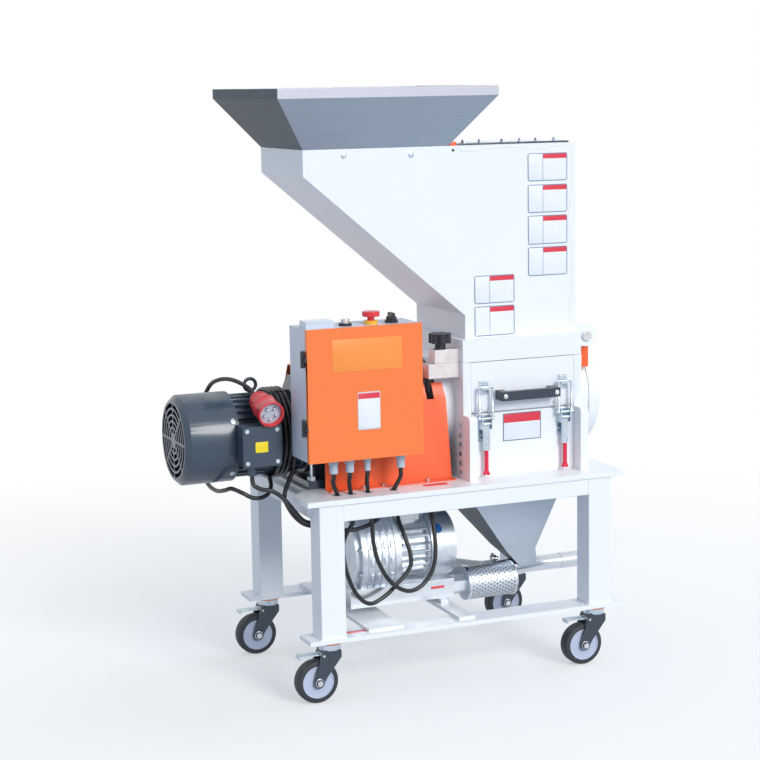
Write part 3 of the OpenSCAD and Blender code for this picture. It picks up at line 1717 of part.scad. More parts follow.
module blower_motor() {
    left = blower_x + channel_l;
    right = left + blower_motor_l;
    cowl_end = right + blower_cowl_l;
    term_low = blower_z + blower_fin_r;
    term_x1 = blower_term_x + blower_term[0];
    term_y1 = blower_term_y + blower_term[1];
    color(cast_silver)
    at_frame() {
        difference() {
            union() {
                rod_x(left, right, blower_core_r, 0, blower_z);
                rod_x(left, left + blower_ring_t, blower_fin_r, 0, blower_z);
                rod_x(right - blower_ring_t, right, blower_fin_r, 0, blower_z);
                rod_x(right, cowl_end, blower_cowl_r, 0, blower_z);
                for (i = [0:blower_fins - 1])
                    translate([0, 0, blower_z])
                        rotate([i * 360 / blower_fins, 0, 0])
                            translate([left, -fin_t / 2, blower_core_r - over])
                                cube([blower_motor_l, fin_t, blower_fin_r - blower_core_r + over]);
                block([blower_term_x, blower_term_y, term_low], [term_x1, term_y1, term_low + blower_term[2]]);
                block(
                    [blower_term_x + term_edge, blower_term_y + term_edge, blower_z + blower_core_r / 2],
                    [term_x1 - term_edge, term_y1 - term_edge, term_low]);
                block(
                    [crossbar_x[1] - foot_half, -blower_foot_half / 2, rail_top + crossbar_t],
                    [crossbar_x[1] + foot_half, blower_foot_half / 2, blower_z - blower_cowl_r / 2]);
            }
            rod_x(left + blower_bell, right - blower_bell, blower_stator_r, 0, blower_z);
            rod_x(left - over, right + blower_bell + over, blower_shaft_r + run_gap, 0, blower_z);
            rod_x(right + blower_bell, cowl_end + over, blower_cowl_r - cowl_wall, 0, blower_z);
        }
        grille(cowl_end - cowl_wall, cowl_end, blower_cowl_r - cowl_wall, blower_z);
    }
}

module blower_rotor() {
    left = blower_x + channel_l;
    right = left + blower_motor_l;
    disc_x = blower_x + channel_wall + impeller_gap;
    fan_low = right + blower_bell + impeller_gap;
    color(dark_steel)
    at_frame() {
        rod_x(disc_x, fan_low + blower_fan_l, blower_shaft_r, 0, blower_z);
        rod_x(disc_x, disc_x + vane_t * 2, impeller_r, 0, blower_z);
        for (i = [0:impeller_blades - 1])
            translate([disc_x + vane_t, 0, blower_z])
                rotate([i * 360 / impeller_blades, 0, 0])
                    translate([0, -vane_t / 2, impeller_r - impeller_t - vane_t])
                        cube([impeller_t + vane_t, vane_t, impeller_t]);
        rod_x(left + blower_bell + air_gap, right - blower_bell - air_gap, blower_stator_r - air_gap, 0, blower_z);
        rod_x(fan_low, fan_low + vane_t, blower_fan_r, 0, blower_z);
        for (i = [0:fan_blades - 1])
            translate([fan_low + vane_t / 2, 0, blower_z])
                rotate([i * 360 / fan_blades, 0, 0])
                    translate([0, -vane_t / 2, blower_shaft_r - vane_t])
                        cube([blower_fan_l - vane_t, vane_t, blower_fan_r - blower_shaft_r]);
    }
}

module intake_filter() {
    hex_x = silencer_left + silencer_l;
    basket_x = hex_x + hex_l;
    right = basket_x + filter_l;
    y = silencer_y[0];
    at_frame() {
        color(cast_silver)
            difference() {
                translate([hex_x, y, intake_z])
                    rotate([0, 90, 0])
                        cylinder(h = hex_l, r = hex_r, $fn = 6);
                rod_x(hex_x - over, basket_x + over, port_r, y, intake_z);
            }
        color(steel)
            difference() {
                union() {
                    rod_x(basket_x, right, filter_r, y, intake_z);
                    for (x = [basket_x, right - filter_ring_t])
                        rod_x(x, x + filter_ring_t, filter_r + filter_ring_out, y, intake_z);
                }
                rod_x(basket_x + filter_wall, right - filter_wall, filter_r - filter_wall, y, intake_z);
                rod_x(basket_x - over, basket_x + 2 * filter_wall, port_r, y, intake_z);
            }
    }
}

// Discharge
module discharge_chute() {
    top = [chute_left, -chute_half, chute_right, chute_half];
    mid = [chute_mid[0], chute_mid_y[0], chute_mid[1], chute_mid_y[1]];
    low = [chute_low[0], pipe_y - chute_low_half, chute_low[1], pipe_y + chute_low_half];
    color(sheet_grey)
    at_frame()
        difference() {
            union() {
                frustum(mid, chute_mid_z, top, table_low);
                frustum(low, pipe_z, mid, chute_mid_z);
            }
            frustum(inset(mid, chute_wall), chute_mid_z, inset(top, chute_wall), table_low);
            frustum(inset(low, chute_wall), pipe_z, inset(mid, chute_wall), chute_mid_z);
            rod_x(
                min(chute_low[0], chute_mid[0]) - over, max(chute_low[1], chute_mid[1]) + over,
                (pipe_r + run_gap) / cos(180 / $fn), pipe_y, pipe_z);
        }
}

module conveying_pipe() {
    color(steel)
    at_frame()
        difference() {
            union() {
                rod_x(pipe_left, pipe_right, pipe_r, pipe_y, pipe_z);
                rod_x(pipe_right - spigot_l, pipe_right, spigot_r, pipe_y, pipe_z);
            }
            rod_x(pipe_left - over, pipe_right + over, pipe_r - pipe_wall, pipe_y, pipe_z);
            block(
                [chute_low[0] + 2 * chute_wall, pipe_y - pipe_slot_half, pipe_z],
                [chute_low[1] - 2 * chute_wall, pipe_y + pipe_slot_half, pipe_z + pipe_r + over]);
        }
}

module air_hose() {
    line = smooth(hose_route, hose_steps);
    flat = cos(180 / hose_sides);
    radii = [for (i = [0:len(line) - 1]) hose_r / flat - (i % 2) * hose_rib];
    color(black)
    at_frame()
        pipe_along(line, radii, hose_bore_r / flat, hose_sides);
}

// Cables and the mains cord
// A route led straight out of one face and straight into the other
function led(route, out, into, r) =
    let (n = len(route))
    let (inner = concat([route[0] + 2 * r * out], [for (i = [1:n - 2]) route[i]], [route[n - 1] - 2 * r * into]))
    concat([route[0]], smooth(inner, cable_steps), [route[n - 1]]);

down = [0, 0, -1];
up = [0, 0, 1];

module control_cables() {
    color(black)
    at_frame() {
        tube(led(blower_cable_route, down, down, cable_r), cable_r, cable_sides, [1, 0, 0]);
        tube(led(switch_cable_route, down, up, cable_r), cable_r, cable_sides, [1, 0, 0]);
        tube(led(motor_cable_route, down, up, cable_r), cable_r, cable_sides, [1, 0, 0]);
    }
}

// The cord's turns round the motor, from the bottom front up over the top
function turn_point(i) =
    let (a = coil_start - 360 * i / coil_rings)
    [coil_x - coil_pitch * i / coil_rings, -coil_r * sin(a), motor_z + coil_r * cos(a)];

function turn_heading(i) =
    let (a = coil_start - 360 * i / coil_rings)
    let (drift = coil_pitch / (2 * PI * coil_r))
    unit([-drift, cos(a), sin(a)]);

coil_in = turn_point(0) - 2 * mains_r * turn_heading(0);
coil_out = turn_point(coil_steps) + 2 * mains_r * turn_heading(coil_steps);

// The plug's axis runs from its open face up and back to the cord
plug_axis = [0, cos(plug_tilt), sin(plug_tilt)];
plug_face = [plug_x, plug_y, term_z + term_h + lid_lap + seat_gap + collar_out / cos(plug_tilt)
    - (term_y - plug_y) * tan(plug_tilt)];
plug_rear = plug_face + (collar_l + plug_body_l + plug_nut_l) * plug_axis;

// Least gap between neighbouring turns of the coil, from its own points one turn apart or nearer the next
coil_gap = min([for (i = [0:coil_steps]) for (j = [i + coil_rings / 2:coil_steps])
    norm(turn_point(i) - turn_point(j))]) - 2 * mains_r;
echo(coil_gap = coil_gap);

module mains_coil() {
    turns = [for (i = [0:coil_steps]) turn_point(i)];
    color(black)
    at_frame()
        tube(concat([coil_in], turns, [coil_out]), mains_r, coil_sides, [1, 0, 0]);
}

module mains_cord() {
    from_box = concat(mains_route, [coil_in]);
    to_plug = concat([coil_out], lead_route, [plug_rear]);
    color(black)
    at_frame() {
        tube(led(from_box, down, turn_heading(0), mains_r), mains_r, cable_sides, [1, 0, 0]);
        tube(led(to_plug, turn_heading(coil_steps), -plug_axis, mains_r), mains_r, cable_sides, [1, 0, 0]);
    }
}

module mains_plug() {
    body_at = collar_l;
    nut_at = collar_l + plug_body_l;
    color(crimson)
    at_frame()
        translate(plug_face)
            rotate([plug_tilt - 90, 0, 0]) {
                difference() {
                    union() {
                        cylinder(h = collar_l, r = collar_out);
                        translate([0, 0, body_at])
                            cylinder(h = plug_body_l, r = plug_body_r);
                        translate([0, 0, nut_at])
                            cylinder(h = plug_nut_l, r = plug_nut_r);
                    }
                    translate([0, 0, -over])
                        cylinder(h = collar_l - collar_wall + over, r = collar_out - collar_wall);
                }
                for (i = [0:plug_pins - 1])
                    rotate([0, 0, i * 360 / plug_pins])
                        translate([plug_pin_ring, 0, pin_recess])
                            cylinder(h = collar_l - pin_recess, r = plug_pin_r);
            }
}

lower_rails();
upper_frame();
table_plate();
fasteners();
side_plates();
lower_front_panel();
rear_wall();
bearing_units();
fixed_knives();
screen();
latch_bases();
hinge_lugs();
clamp_lower_block();
drive_guard();
gearbox_housing();
motor_housing();
fan_cowl();
terminal_box();
control_box();
switchgear();
cable_glands();
control_cables();
blower_casing();
blower_motor();
intake_filter();
air_hose();
discharge_chute();
conveying_pipe();
mains_cord();
mains_coil();
mains_plug();
hopper_body();
feed_funnel();
star_knob();
front_door();
door_fittings();
latch_levers();
latch_bows();
control_door();
stop_button();
start_button();
selector_switch();
rotor_shaft();
rotor_knives();
output_gear();
countershaft();
motor_rotor();
blower_rotor();
caster_fork_fl();
wheel_fl();
brake_pedal_fl();
caster_fork_fr();
wheel_fr();
brake_pedal_fr();
caster_fork_rl();
wheel_rl();
brake_pedal_rl();
caster_fork_rr();
wheel_rr();
brake_pedal_rr();
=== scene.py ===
"""Looks of the beside-the-press granulator, in metres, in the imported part's own frame.

Machine coordinates are the part's millimetres: the floor is z 0 and the operator stands at -y.
New pieces are numpy grids of points, or profiles carried round an axis or along a path.
"""

import json
import math

import bmesh
import bpy
import numpy as np
from mathutils import Matrix, Vector


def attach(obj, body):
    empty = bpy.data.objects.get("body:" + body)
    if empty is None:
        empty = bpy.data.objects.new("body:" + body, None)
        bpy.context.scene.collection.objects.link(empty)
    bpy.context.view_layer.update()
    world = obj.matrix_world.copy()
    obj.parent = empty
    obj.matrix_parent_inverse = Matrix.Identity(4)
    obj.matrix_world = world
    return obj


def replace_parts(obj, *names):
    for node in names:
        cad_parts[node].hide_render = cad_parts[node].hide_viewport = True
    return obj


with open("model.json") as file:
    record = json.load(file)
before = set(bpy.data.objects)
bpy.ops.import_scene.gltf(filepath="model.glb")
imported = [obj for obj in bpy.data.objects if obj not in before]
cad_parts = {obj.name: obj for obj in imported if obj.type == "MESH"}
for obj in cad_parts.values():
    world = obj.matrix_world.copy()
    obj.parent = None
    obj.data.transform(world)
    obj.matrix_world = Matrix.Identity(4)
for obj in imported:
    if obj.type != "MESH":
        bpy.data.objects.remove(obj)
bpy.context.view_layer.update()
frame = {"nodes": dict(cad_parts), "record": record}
nodes = frame["nodes"]
node_body = {n: b for b, members in frame["record"]["behaviour"]["bodies"].items() for n in members}

# Machine millimetres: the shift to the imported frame, the heights of the main faces, the y of the fronts, the shafts
FRAME_SHIFT = np.array([101.0, 2.5, 0.0])
RAIL_TOP, TABLE_Z, HOPPER_TOP = 151.0, 471.0, 1245.0
DOOR_FACE, HOPPER_FACE, CHAMBER_FACE = -250.0, -140.0, -166.0
MOTOR_Z, BLOWER_Z, ROTOR_Z = 592.0, 285.0, 632.0
LEG_X, LEG_Y = 341.0, 210.0
LATCH_X = (72.0, 279.0)
CASTERS = {"fl": (-LEG_X, -LEG_Y), "fr": (LEG_X, -LEG_Y), "rl": (-LEG_X, LEG_Y), "rr": (LEG_X, LEG_Y)}
CORD_R = 5.0
X, Y, Z = np.eye(3)
FRONT, REAR, DOWN, UP = (0.0, -1.0, 0.0), (0.0, 1.0, 0.0), (0.0, 0.0, -1.0), (0.0, 0.0, 1.0)


def packed(points):
    """Packed-frame metres of machine points: each point plus the frame's shift, divided by a thousand."""
    return (np.asarray(points, float) + FRAME_SHIFT) / 1000.0


def round_turn(count, start=0.0):
    """Angles evenly spaced round one turn, from a start."""
    return np.linspace(start, start + 2 * np.pi, count, endpoint=False)


def spoke(turn):
    """The direction square to X at an angle from the rear toward the top."""
    return np.array([0.0, math.cos(turn), math.sin(turn)])


# Camera, at the photograph's place and angle

# Degrees to the left of square, downward and of roll; metres; millimetres of lens and sensor, and the clip in metres
CAMERA_TURNS = (22.5757, 8.8868, 0.9174)
CAMERA_PLACE = (-1.73588, -4.12774, 1.39277)
CAMERA_LENS, CAMERA_SENSOR, CAMERA_REACH = 90.41, 36.0, 60.0


def make_camera():
    """A camera whose axes are the level right and the pitched view line, turned by the roll about that line."""
    yaw, pitch, roll = np.radians(CAMERA_TURNS)
    level = np.array([math.cos(yaw), -math.sin(yaw), 0.0])
    ahead = np.array([math.sin(yaw) * math.cos(pitch), math.cos(yaw) * math.cos(pitch), -math.sin(pitch)])
    sunk = np.cross(ahead, level)
    right = level * math.cos(roll) + sunk * math.sin(roll)
    down = -level * math.sin(roll) + sunk * math.cos(roll)
    data = bpy.data.cameras.new("photo_camera")
    data.sensor_width = CAMERA_SENSOR
    data.lens = CAMERA_LENS
    data.clip_end = CAMERA_REACH
    camera = bpy.data.objects.new("photo_camera", data)
    bpy.context.scene.collection.objects.link(camera)
    axes = np.stack([right, -down, -ahead], axis=1)
    camera.matrix_world = Matrix([[*axes[i], CAMERA_PLACE[i]] for i in range(3)] + [[0, 0, 0, 1]])
    bpy.context.scene.camera = camera


make_camera()


# Shader groups

def group(name, inputs, outputs):
    """An empty shader group with named float, colour and vector sockets: its tree, the sockets that it is given and
    those that it puts out."""
    tree = bpy.data.node_groups.new(name, "ShaderNodeTree")
    kinds = {"f": "NodeSocketFloat", "c": "NodeSocketColor", "v": "NodeSocketVector"}
    for label, kind, value in inputs:
        socket = tree.interface.new_socket(name=label, in_out="INPUT", socket_type=kinds[kind])
        if kind != "v":
            socket.default_value = value
    for label, kind in outputs:
        tree.interface.new_socket(name=label, in_out="OUTPUT", socket_type=kinds[kind])
    return tree, tree.nodes.new("NodeGroupInput").outputs, tree.nodes.new("NodeGroupOutput").inputs


def wire(tree, kind, links=(), **values):
    """A node of a kind in a tree: values are its settings by attribute; links gives each input an output socket
    or a constant."""
    node = tree.nodes.new(kind)
    for key, value in values.items():
        setattr(node, key, value)
    for key, source in dict(links).items():
        if isinstance(source, bpy.types.NodeSocket):
            tree.links.new(source, node.inputs[key])
        else:
            node.inputs[key].default_value = source
    return node


def noise(tree, vector, scale, detail=3.0, rough=0.55):
    """The value of a noise pattern at so many features a metre."""
    sockets = {"Vector": vector, "Scale": scale, "Detail": detail, "Roughness": rough}
    return wire(tree, "ShaderNodeTexNoise", sockets).outputs[0]


def ramp(tree, value, low, high, out_low=0.0, out_high=1.0):
    """A value carried from the range low to high into out_low to out_high, held at both ends."""
    return wire(tree, "ShaderNodeMapRange", {0: value, 1: low, 2: high, 3: out_low, 4: out_high}).outputs[0]


def mixed(tree, share, first, second):
    """Two colours mixed by a share from 0 to 1."""
    node = tree.nodes.new("ShaderNodeMix")
    node.data_type = "RGBA"
    for socket, source in ((node.inputs[0], share), (node.inputs[6], first), (node.inputs[7], second)):
        if isinstance(source, bpy.types.NodeSocket):
            tree.links.new(source, socket)
        else:
            socket.default_value = source
    return node.outputs[2]


def sums(tree, operation, *terms):
    """One math operation on its terms, not clamped."""
    return wire(tree, "ShaderNodeMath", dict(enumerate(terms)), operation=operation).outputs[0]


def make_finish():
    """Painted or plain skin: colour = base mixed toward a shade by slow mottling, then toward grey where dust lies
    on level faces; height = fine grain; roughness = its base plus the mottling's and the dust's shares."""
    tree, given, out = group("coat_finish", [
        ("Base", "c", (0.8, 0.8, 0.8, 1)), ("Shade", "c", (0.5, 0.5, 0.5, 1)),
        ("Mottle", "f", 0.15), ("Mottle scale", "f", 6.0), ("Grain scale", "f", 700.0),
        ("Roughness", "f", 0.4), ("Roughness spread", "f", 0.08), ("Dust", "f", 0.1)],
        [("Color", "c"), ("Roughness", "f"), ("Height", "f")])
    spot = wire(tree, "ShaderNodeTexCoord").outputs["Object"]
    slow = noise(tree, spot, given["Mottle scale"], 5.0, 0.62)
    grain = noise(tree, spot, given["Grain scale"], 2.0)
    share = sums(tree, "MULTIPLY", ramp(tree, slow, 0.3, 0.75), given["Mottle"])
    toned = mixed(tree, share, given["Base"], given["Shade"])
    normal = wire(tree, "ShaderNodeNewGeometry").outputs["Normal"]
    upward = wire(tree, "ShaderNodeSeparateXYZ", {0: normal}).outputs[2]
    patches = ramp(tree, noise(tree, spot, 22.0, 4.0), 0.35, 0.7)
    settled = sums(tree, "MULTIPLY", ramp(tree, upward, 0.5, 1.0), patches)
    settled = sums(tree, "MULTIPLY", settled, given["Dust"])
    dusty = mixed(tree, settled, toned, (0.50, 0.50, 0.50, 1))
    tree.links.new(dusty, out["Color"])
    spread = sums(tree, "MULTIPLY", sums(tree, "SUBTRACT", slow, 0.5), given["Roughness spread"])
    rough = sums(tree, "ADD", given["Roughness"], spread)
    tree.links.new(sums(tree, "ADD", rough, sums(tree, "MULTIPLY", settled, 0.5)), out["Roughness"])
    tree.links.new(grain, out["Height"])
    return tree


def make_brushing():
    """Brushed or rolled metal: noise stretched along one axis gives streaks of colour, roughness and height."""
    tree, given, out = group("brushed_metal", [
        ("Stretch", "v", None), ("Bright", "c", (0.8, 0.8, 0.8, 1)), ("Dark", "c", (0.5, 0.5, 0.5, 1)),
        ("Roughness", "f", 0.3), ("Roughness spread", "f", 0.15), ("Stain", "f", 0.2)],
        [("Color", "c"), ("Roughness", "f"), ("Height", "f")])
    spot = wire(tree, "ShaderNodeTexCoord").outputs["Object"]
    along = wire(tree, "ShaderNodeVectorMath", {0: spot, 1: given["Stretch"]}, operation="MULTIPLY").outputs[0]
    streak = noise(tree, along, 1.0, 4.0, 0.6)
    blotch = noise(tree, spot, 9.0, 5.0, 0.65)
    stain = sums(tree, "MULTIPLY", blotch, given["Stain"])
    tone = sums(tree, "ADD", ramp(tree, streak, 0.3, 0.7, 0.0, 0.7), stain)
    tree.links.new(mixed(tree, tone, given["Bright"], given["Dark"]), out["Color"])
    spread = sums(tree, "MULTIPLY", sums(tree, "SUBTRACT", streak, 0.4), given["Roughness spread"])
    tree.links.new(sums(tree, "ADD", given["Roughness"], spread), out["Roughness"])
    tree.links.new(streak, out["Height"])
    return tree


def make_spangle():
    """Cast or zinc-plated metal: cells of slightly different tone, with a sandy grain in the height."""
    tree, given, out = group("cast_or_plated", [
        ("Bright", "c", (0.8, 0.8, 0.8, 1)), ("Dark", "c", (0.5, 0.5, 0.5, 1)), ("Cells", "f", 120.0),
        ("Sand", "f", 500.0), ("Roughness", "f", 0.35)],
        [("Color", "c"), ("Roughness", "f"), ("Height", "f")])
    spot = wire(tree, "ShaderNodeTexCoord").outputs["Object"]
    cells = wire(tree, "ShaderNodeTexVoronoi", {"Vector": spot, "Scale": given["Cells"]}).outputs["Color"]
    tone = wire(tree, "ShaderNodeSeparateColor", {0: cells}).outputs[0]
    soft = noise(tree, spot, 30.0, 4.0)
    tone = sums(tree, "ADD", sums(tree, "MULTIPLY", tone, 0.35), ramp(tree, soft, 0.3, 0.7, 0.0, 0.65))
    tree.links.new(mixed(tree, tone, given["Bright"], given["Dark"]), out["Color"])
    rough = sums(tree, "ADD", given["Roughness"], sums(tree, "MULTIPLY", tone, 0.12))
    tree.links.new(rough, out["Roughness"])
    tree.links.new(noise(tree, spot, given["Sand"], 3.0), out["Height"])
    return tree


coat_finish, brushed_metal, cast_or_plated = make_finish(), make_brushing(), make_spangle()


def new_material(name):
    """A material with a Principled shader: the material, its tree and the shader."""
    material = bpy.data.materials.new(name)
    material.use_nodes = True
    return material, material.node_tree, material.node_tree.nodes["Principled BSDF"]


def skin(name, effect, values, bump, bump_mm, metallic=0.0, coat=0.0, coat_roughness=0.1, specular=0.5):
    """A Principled material whose colour, roughness and bump come from one of the groups with its own values."""
    material, tree, shader = new_material(name)
    shader.inputs["Metallic"].default_value = metallic
    shader.inputs["Specular IOR Level"].default_value = specular
    shader.inputs["Coat Weight"].default_value = coat
    shader.inputs["Coat Roughness"].default_value = coat_roughness
    placed = tree.nodes.new("ShaderNodeGroup")
    placed.node_tree = effect
    for key, value in values.items():
        placed.inputs[key].default_value = value
    tree.links.new(placed.outputs["Color"], shader.inputs["Base Color"])
    tree.links.new(placed.outputs["Roughness"], shader.inputs["Roughness"])
    raised = wire(tree, "ShaderNodeBump",
        {"Strength": bump, "Distance": bump_mm / 1000.0, "Height": placed.outputs["Height"]})
    tree.links.new(raised.outputs[0], shader.inputs["Normal"])
    material.diffuse_color = tuple(values.get("Base", values.get("Bright")))
    return material


def paint(name, base, shade, rough=0.38, mottle=0.25, dust=0.1, grain=900.0, bump=0.12, coat=0.0):
    """A coat of paint, rubber or moulded plastic."""
    return skin(name, coat_finish, {"Base": (*base, 1), "Shade": (*shade, 1), "Mottle": mottle, "Mottle scale": 5.0,
        "Grain scale": grain, "Roughness": rough, "Roughness spread": 0.12, "Dust": dust},
        bump, 0.05, coat=coat, coat_roughness=0.12)


def sheet_metal(name, bright, dark, stretch, rough=0.3, metallic=1.0, specular=0.5):
    """Brushed or rolled sheet, its grain running along the axis with the small stretch."""
    return skin(name, brushed_metal, {"Bright": (*bright, 1), "Dark": (*dark, 1), "Stretch": stretch,
        "Roughness": rough, "Stain": 0.25}, 0.1, 0.03, metallic, specular=specular)


def plated(name, bright, dark, rough=0.3, cells=160.0, sand=700.0, bump=0.2, metallic=1.0):
    """Zinc plating or cast metal."""
    return skin(name, cast_or_plated, {"Bright": (*bright, 1), "Dark": (*dark, 1), "Cells": cells,
        "Sand": sand, "Roughness": rough}, bump, 0.08, metallic)


white_coat = paint("white_powder_coat", (0.90, 0.925, 0.955), (0.84, 0.87, 0.92), 0.34, 0.3, 0.1, 800.0)
box_coat = paint("pale_grey_box_coat", (0.70, 0.76, 0.85), (0.60, 0.66, 0.77), 0.36, 0.3, 0.1, 800.0)
orange_coat = paint("orange_door_coat", (1.0, 0.225, 0.055), (0.93, 0.175, 0.038), 0.33, 0.35, 0.05, 850.0)
guard_coat = paint("orange_guard_coat", (0.93, 0.125, 0.026), (0.80, 0.09, 0.015), 0.33, 0.35, 0.05, 850.0)
lug_coat = paint("orange_lug_coat", (0.93, 0.13, 0.028), (0.82, 0.10, 0.02), 0.36, 0.3, 0.05)
motor_coat = paint("blue_grey_motor_enamel", (0.040, 0.068, 0.105), (0.022, 0.04, 0.066),
    0.30, 0.5, 0.2, 500.0, 0.25, 0.25)
fork_coat = paint("dark_caster_enamel", (0.030, 0.046, 0.068), (0.016, 0.026, 0.04),
    0.30, 0.5, 0.15, 500.0, 0.2, 0.3)
black_plastic = paint("black_moulded_plastic", (0.014, 0.016, 0.022), (0.03, 0.034, 0.044),
    0.34, 0.5, 0.1, 1400.0, 0.25)
handle_plastic = paint("slate_handle_plastic", (0.035, 0.048, 0.072), (0.02, 0.028, 0.045),
    0.34, 0.4, 0.08, 1400.0, 0.2)
cord_rubber = paint("black_cord_sheath", (0.010, 0.011, 0.014), (0.022, 0.024, 0.03), 0.34, 0.5, 0.1, 1800.0, 0.3)
tyre_rubber = paint("dark_tyre_rubber", (0.020, 0.024, 0.032), (0.045, 0.048, 0.055), 0.6, 0.6, 0.2, 1100.0, 0.4)
hub_plastic = paint("pale_hub_plastic", (0.52, 0.58, 0.72), (0.42, 0.48, 0.62), 0.42, 0.3, 0.1, 1000.0, 0.2)
ring_orange = paint("orange_dust_ring", (0.95, 0.26, 0.07), (0.80, 0.18, 0.04), 0.4, 0.3, 0.05)
gland_plastic = paint("pale_gland_nylon", (0.52, 0.58, 0.66), (0.42, 0.48, 0.57), 0.45, 0.3, 0.1, 1200.0, 0.25)
plug_red = paint("red_plug_plastic", (0.78, 0.032, 0.045), (0.62, 0.02, 0.03), 0.30, 0.35, 0.05, 1300.0, 0.15, 0.15)
stop_red = paint("red_button_plastic", (0.80, 0.022, 0.040), (0.65, 0.012, 0.02), 0.25, 0.3, 0.05, 1500.0, 0.1, 0.3)
stop_yellow = paint("yellow_collar_plastic", (0.93, 0.50, 0.03), (0.82, 0.40, 0.02), 0.32, 0.3, 0.05, 1500.0, 0.1)
grip_vinyl = paint("crimson_dipped_vinyl", (0.78, 0.008, 0.052), (0.60, 0.004, 0.035),
    0.28, 0.4, 0.05, 900.0, 0.25, 0.3)
meter_plastic = paint("clear_grey_meter_case", (0.60, 0.70, 0.82), (0.50, 0.60, 0.74),
    0.18, 0.3, 0.05, 1300.0, 0.05, 0.4)
zinc = plated("blue_zinc_plate", (0.72, 0.79, 0.86), (0.40, 0.50, 0.60), 0.24, 260.0, 900.0, 0.15)
bright_steel = plated("bright_nickel_screw", (0.82, 0.83, 0.86), (0.55, 0.57, 0.62), 0.18, 300.0, 1200.0, 0.1)
nickel_block = plated("milled_nickel_block", (0.80, 0.76, 0.77), (0.60, 0.55, 0.57),
    0.34, 200.0, 1000.0, 0.12, 0.75)
cast_aluminium = plated("cast_silver_aluminium", (0.76, 0.81, 0.86), (0.52, 0.58, 0.66),
    0.36, 110.0, 650.0, 0.45, 0.75)
pressed_steel = plated("pressed_pedal_steel", (0.66, 0.74, 0.80), (0.45, 0.54, 0.62), 0.30, 200.0, 800.0, 0.2, 0.8)
dark_iron = plated("dark_machined_iron", (0.16, 0.17, 0.20), (0.08, 0.09, 0.11), 0.42, 90.0, 400.0, 0.3, 0.85)
knife_steel = sheet_metal("ground_knife_steel", (0.66, 0.68, 0.71), (0.45, 0.47, 0.50), (20.0, 700.0, 700.0), 0.26)
funnel_steel = sheet_metal("brushed_funnel_steel", (0.36, 0.43, 0.52), (0.30, 0.36, 0.44),
    (14.0, 14.0, 900.0), 0.36, 0.6)
# Painted highlight: a brighter copy of the funnel steel, given to the funnel's upright faces turned to the front, right
# and rear
funnel_rim_painted_highlight = sheet_metal("rim_steel_painted_highlight", (0.62, 0.63, 0.70), (0.50, 0.52, 0.60), (10.0, 10.0, 700.0), 0.3, 0.6)
# Painted shade and painted dark reflection: a dark, nearly unreflecting copy of the steel, given to the left-facing
# faces of the funnel and the chute
painted_shade_sheet = sheet_metal("left_side_painted_shade_steel", (0.055, 0.088, 0.125), (0.040, 0.066, 0.096),
    (14.0, 14.0, 900.0), 0.4, 0.1, specular=0.15)
chute_steel = sheet_metal("dull_chute_steel", (0.62, 0.69, 0.78), (0.54, 0.61, 0.70), (12.0, 12.0, 500.0), 0.4, 0.5)
pipe_steel = sheet_metal("polished_pipe_steel", (0.74, 0.78, 0.83), (0.52, 0.57, 0.64), (10.0, 500.0, 500.0), 0.2)
hole_shade = paint("shaded_filter_hole", (0.085, 0.10, 0.12), (0.05, 0.06, 0.075), 0.6)
basket_steel = sheet_metal("satin_basket_steel", (0.66, 0.71, 0.77), (0.50, 0.55, 0.62),
    (10.0, 400.0, 400.0), 0.38, 0.85)
silencer_steel = sheet_metal("polished_silencer_skin", (0.80, 0.84, 0.88), (0.60, 0.65, 0.72),
    (8.0, 300.0, 300.0), 0.2, 0.85)
hose_skin = paint("clear_grey_ribbed_hose", (0.42, 0.47, 0.52), (0.28, 0.33, 0.38), 0.24, 0.4, 0.1, 900.0, 0.2, 0.3)


# Meshes

def add(name, points, faces, body, material, smooth=True, uv=None, sharp=32.0):
    """A mesh piece from machine points and faces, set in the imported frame's metres, riding on a body."""
    mesh = bpy.data.meshes.new(name)
    mesh.from_pydata(packed(points).tolist(), [], faces)
    mesh.validate()
    mesh.materials.append(material)
    if smooth:
        mesh.polygons.foreach_set("use_smooth", np.ones(len(mesh.polygons), bool))
        mesh.set_sharp_from_angle(angle=math.radians(sharp))
    if uv is not None:
        corner = np.zeros(len(mesh.loops), np.int32)
        mesh.loops.foreach_get("vertex_index", corner)
        mesh.uv_layers.new(name="face_uv").data.foreach_set("uv", np.asarray(uv, np.float32)[corner].ravel())
    piece = bpy.data.objects.new(name, mesh)
    bpy.context.scene.collection.objects.link(piece)
    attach(piece, body)
    return piece


def shell(rings, joined=False):
    """Quads over a grid of rings by points, each ring closed; the ends are capped, or the last ring meets the first."""
    rings = np.asarray(rings, float)
    count, around = rings.shape[:2]
    i, j = np.meshgrid(np.arange(count if joined else count - 1), np.arange(around), indexing="ij")
    i, j = i.ravel(), j.ravel()
    k, n = (i + 1) % count, (j + 1) % around
    faces = np.stack([i * around + j, i * around + n, k * around + n, k * around + j], axis=1).tolist()
    if not joined:
        faces.append(np.arange(around)[::-1].tolist())
        faces.append((np.arange(around) + (count - 1) * around).tolist())
    return rings.reshape(-1, 3), faces


def gathered(parts):
    """Several shells as one list of points and faces."""
    points, faces, base = [], [], 0
    for p, f in parts:
        points.append(p)
        faces += [[base + v for v in face] for face in f]
        base += len(p)
    return np.concatenate(points), faces


def basis(axis):
    """Two directions square to an axis, and the axis, in a right-handed order."""
    axis = np.asarray(axis, float) / np.linalg.norm(axis)
    first = np.cross(axis, [0.0, 0.0, 1.0] if abs(axis[2]) < 0.9 else [1.0, 0.0, 0.0])
    first /= np.linalg.norm(first)
    return first, np.cross(axis, first), axis


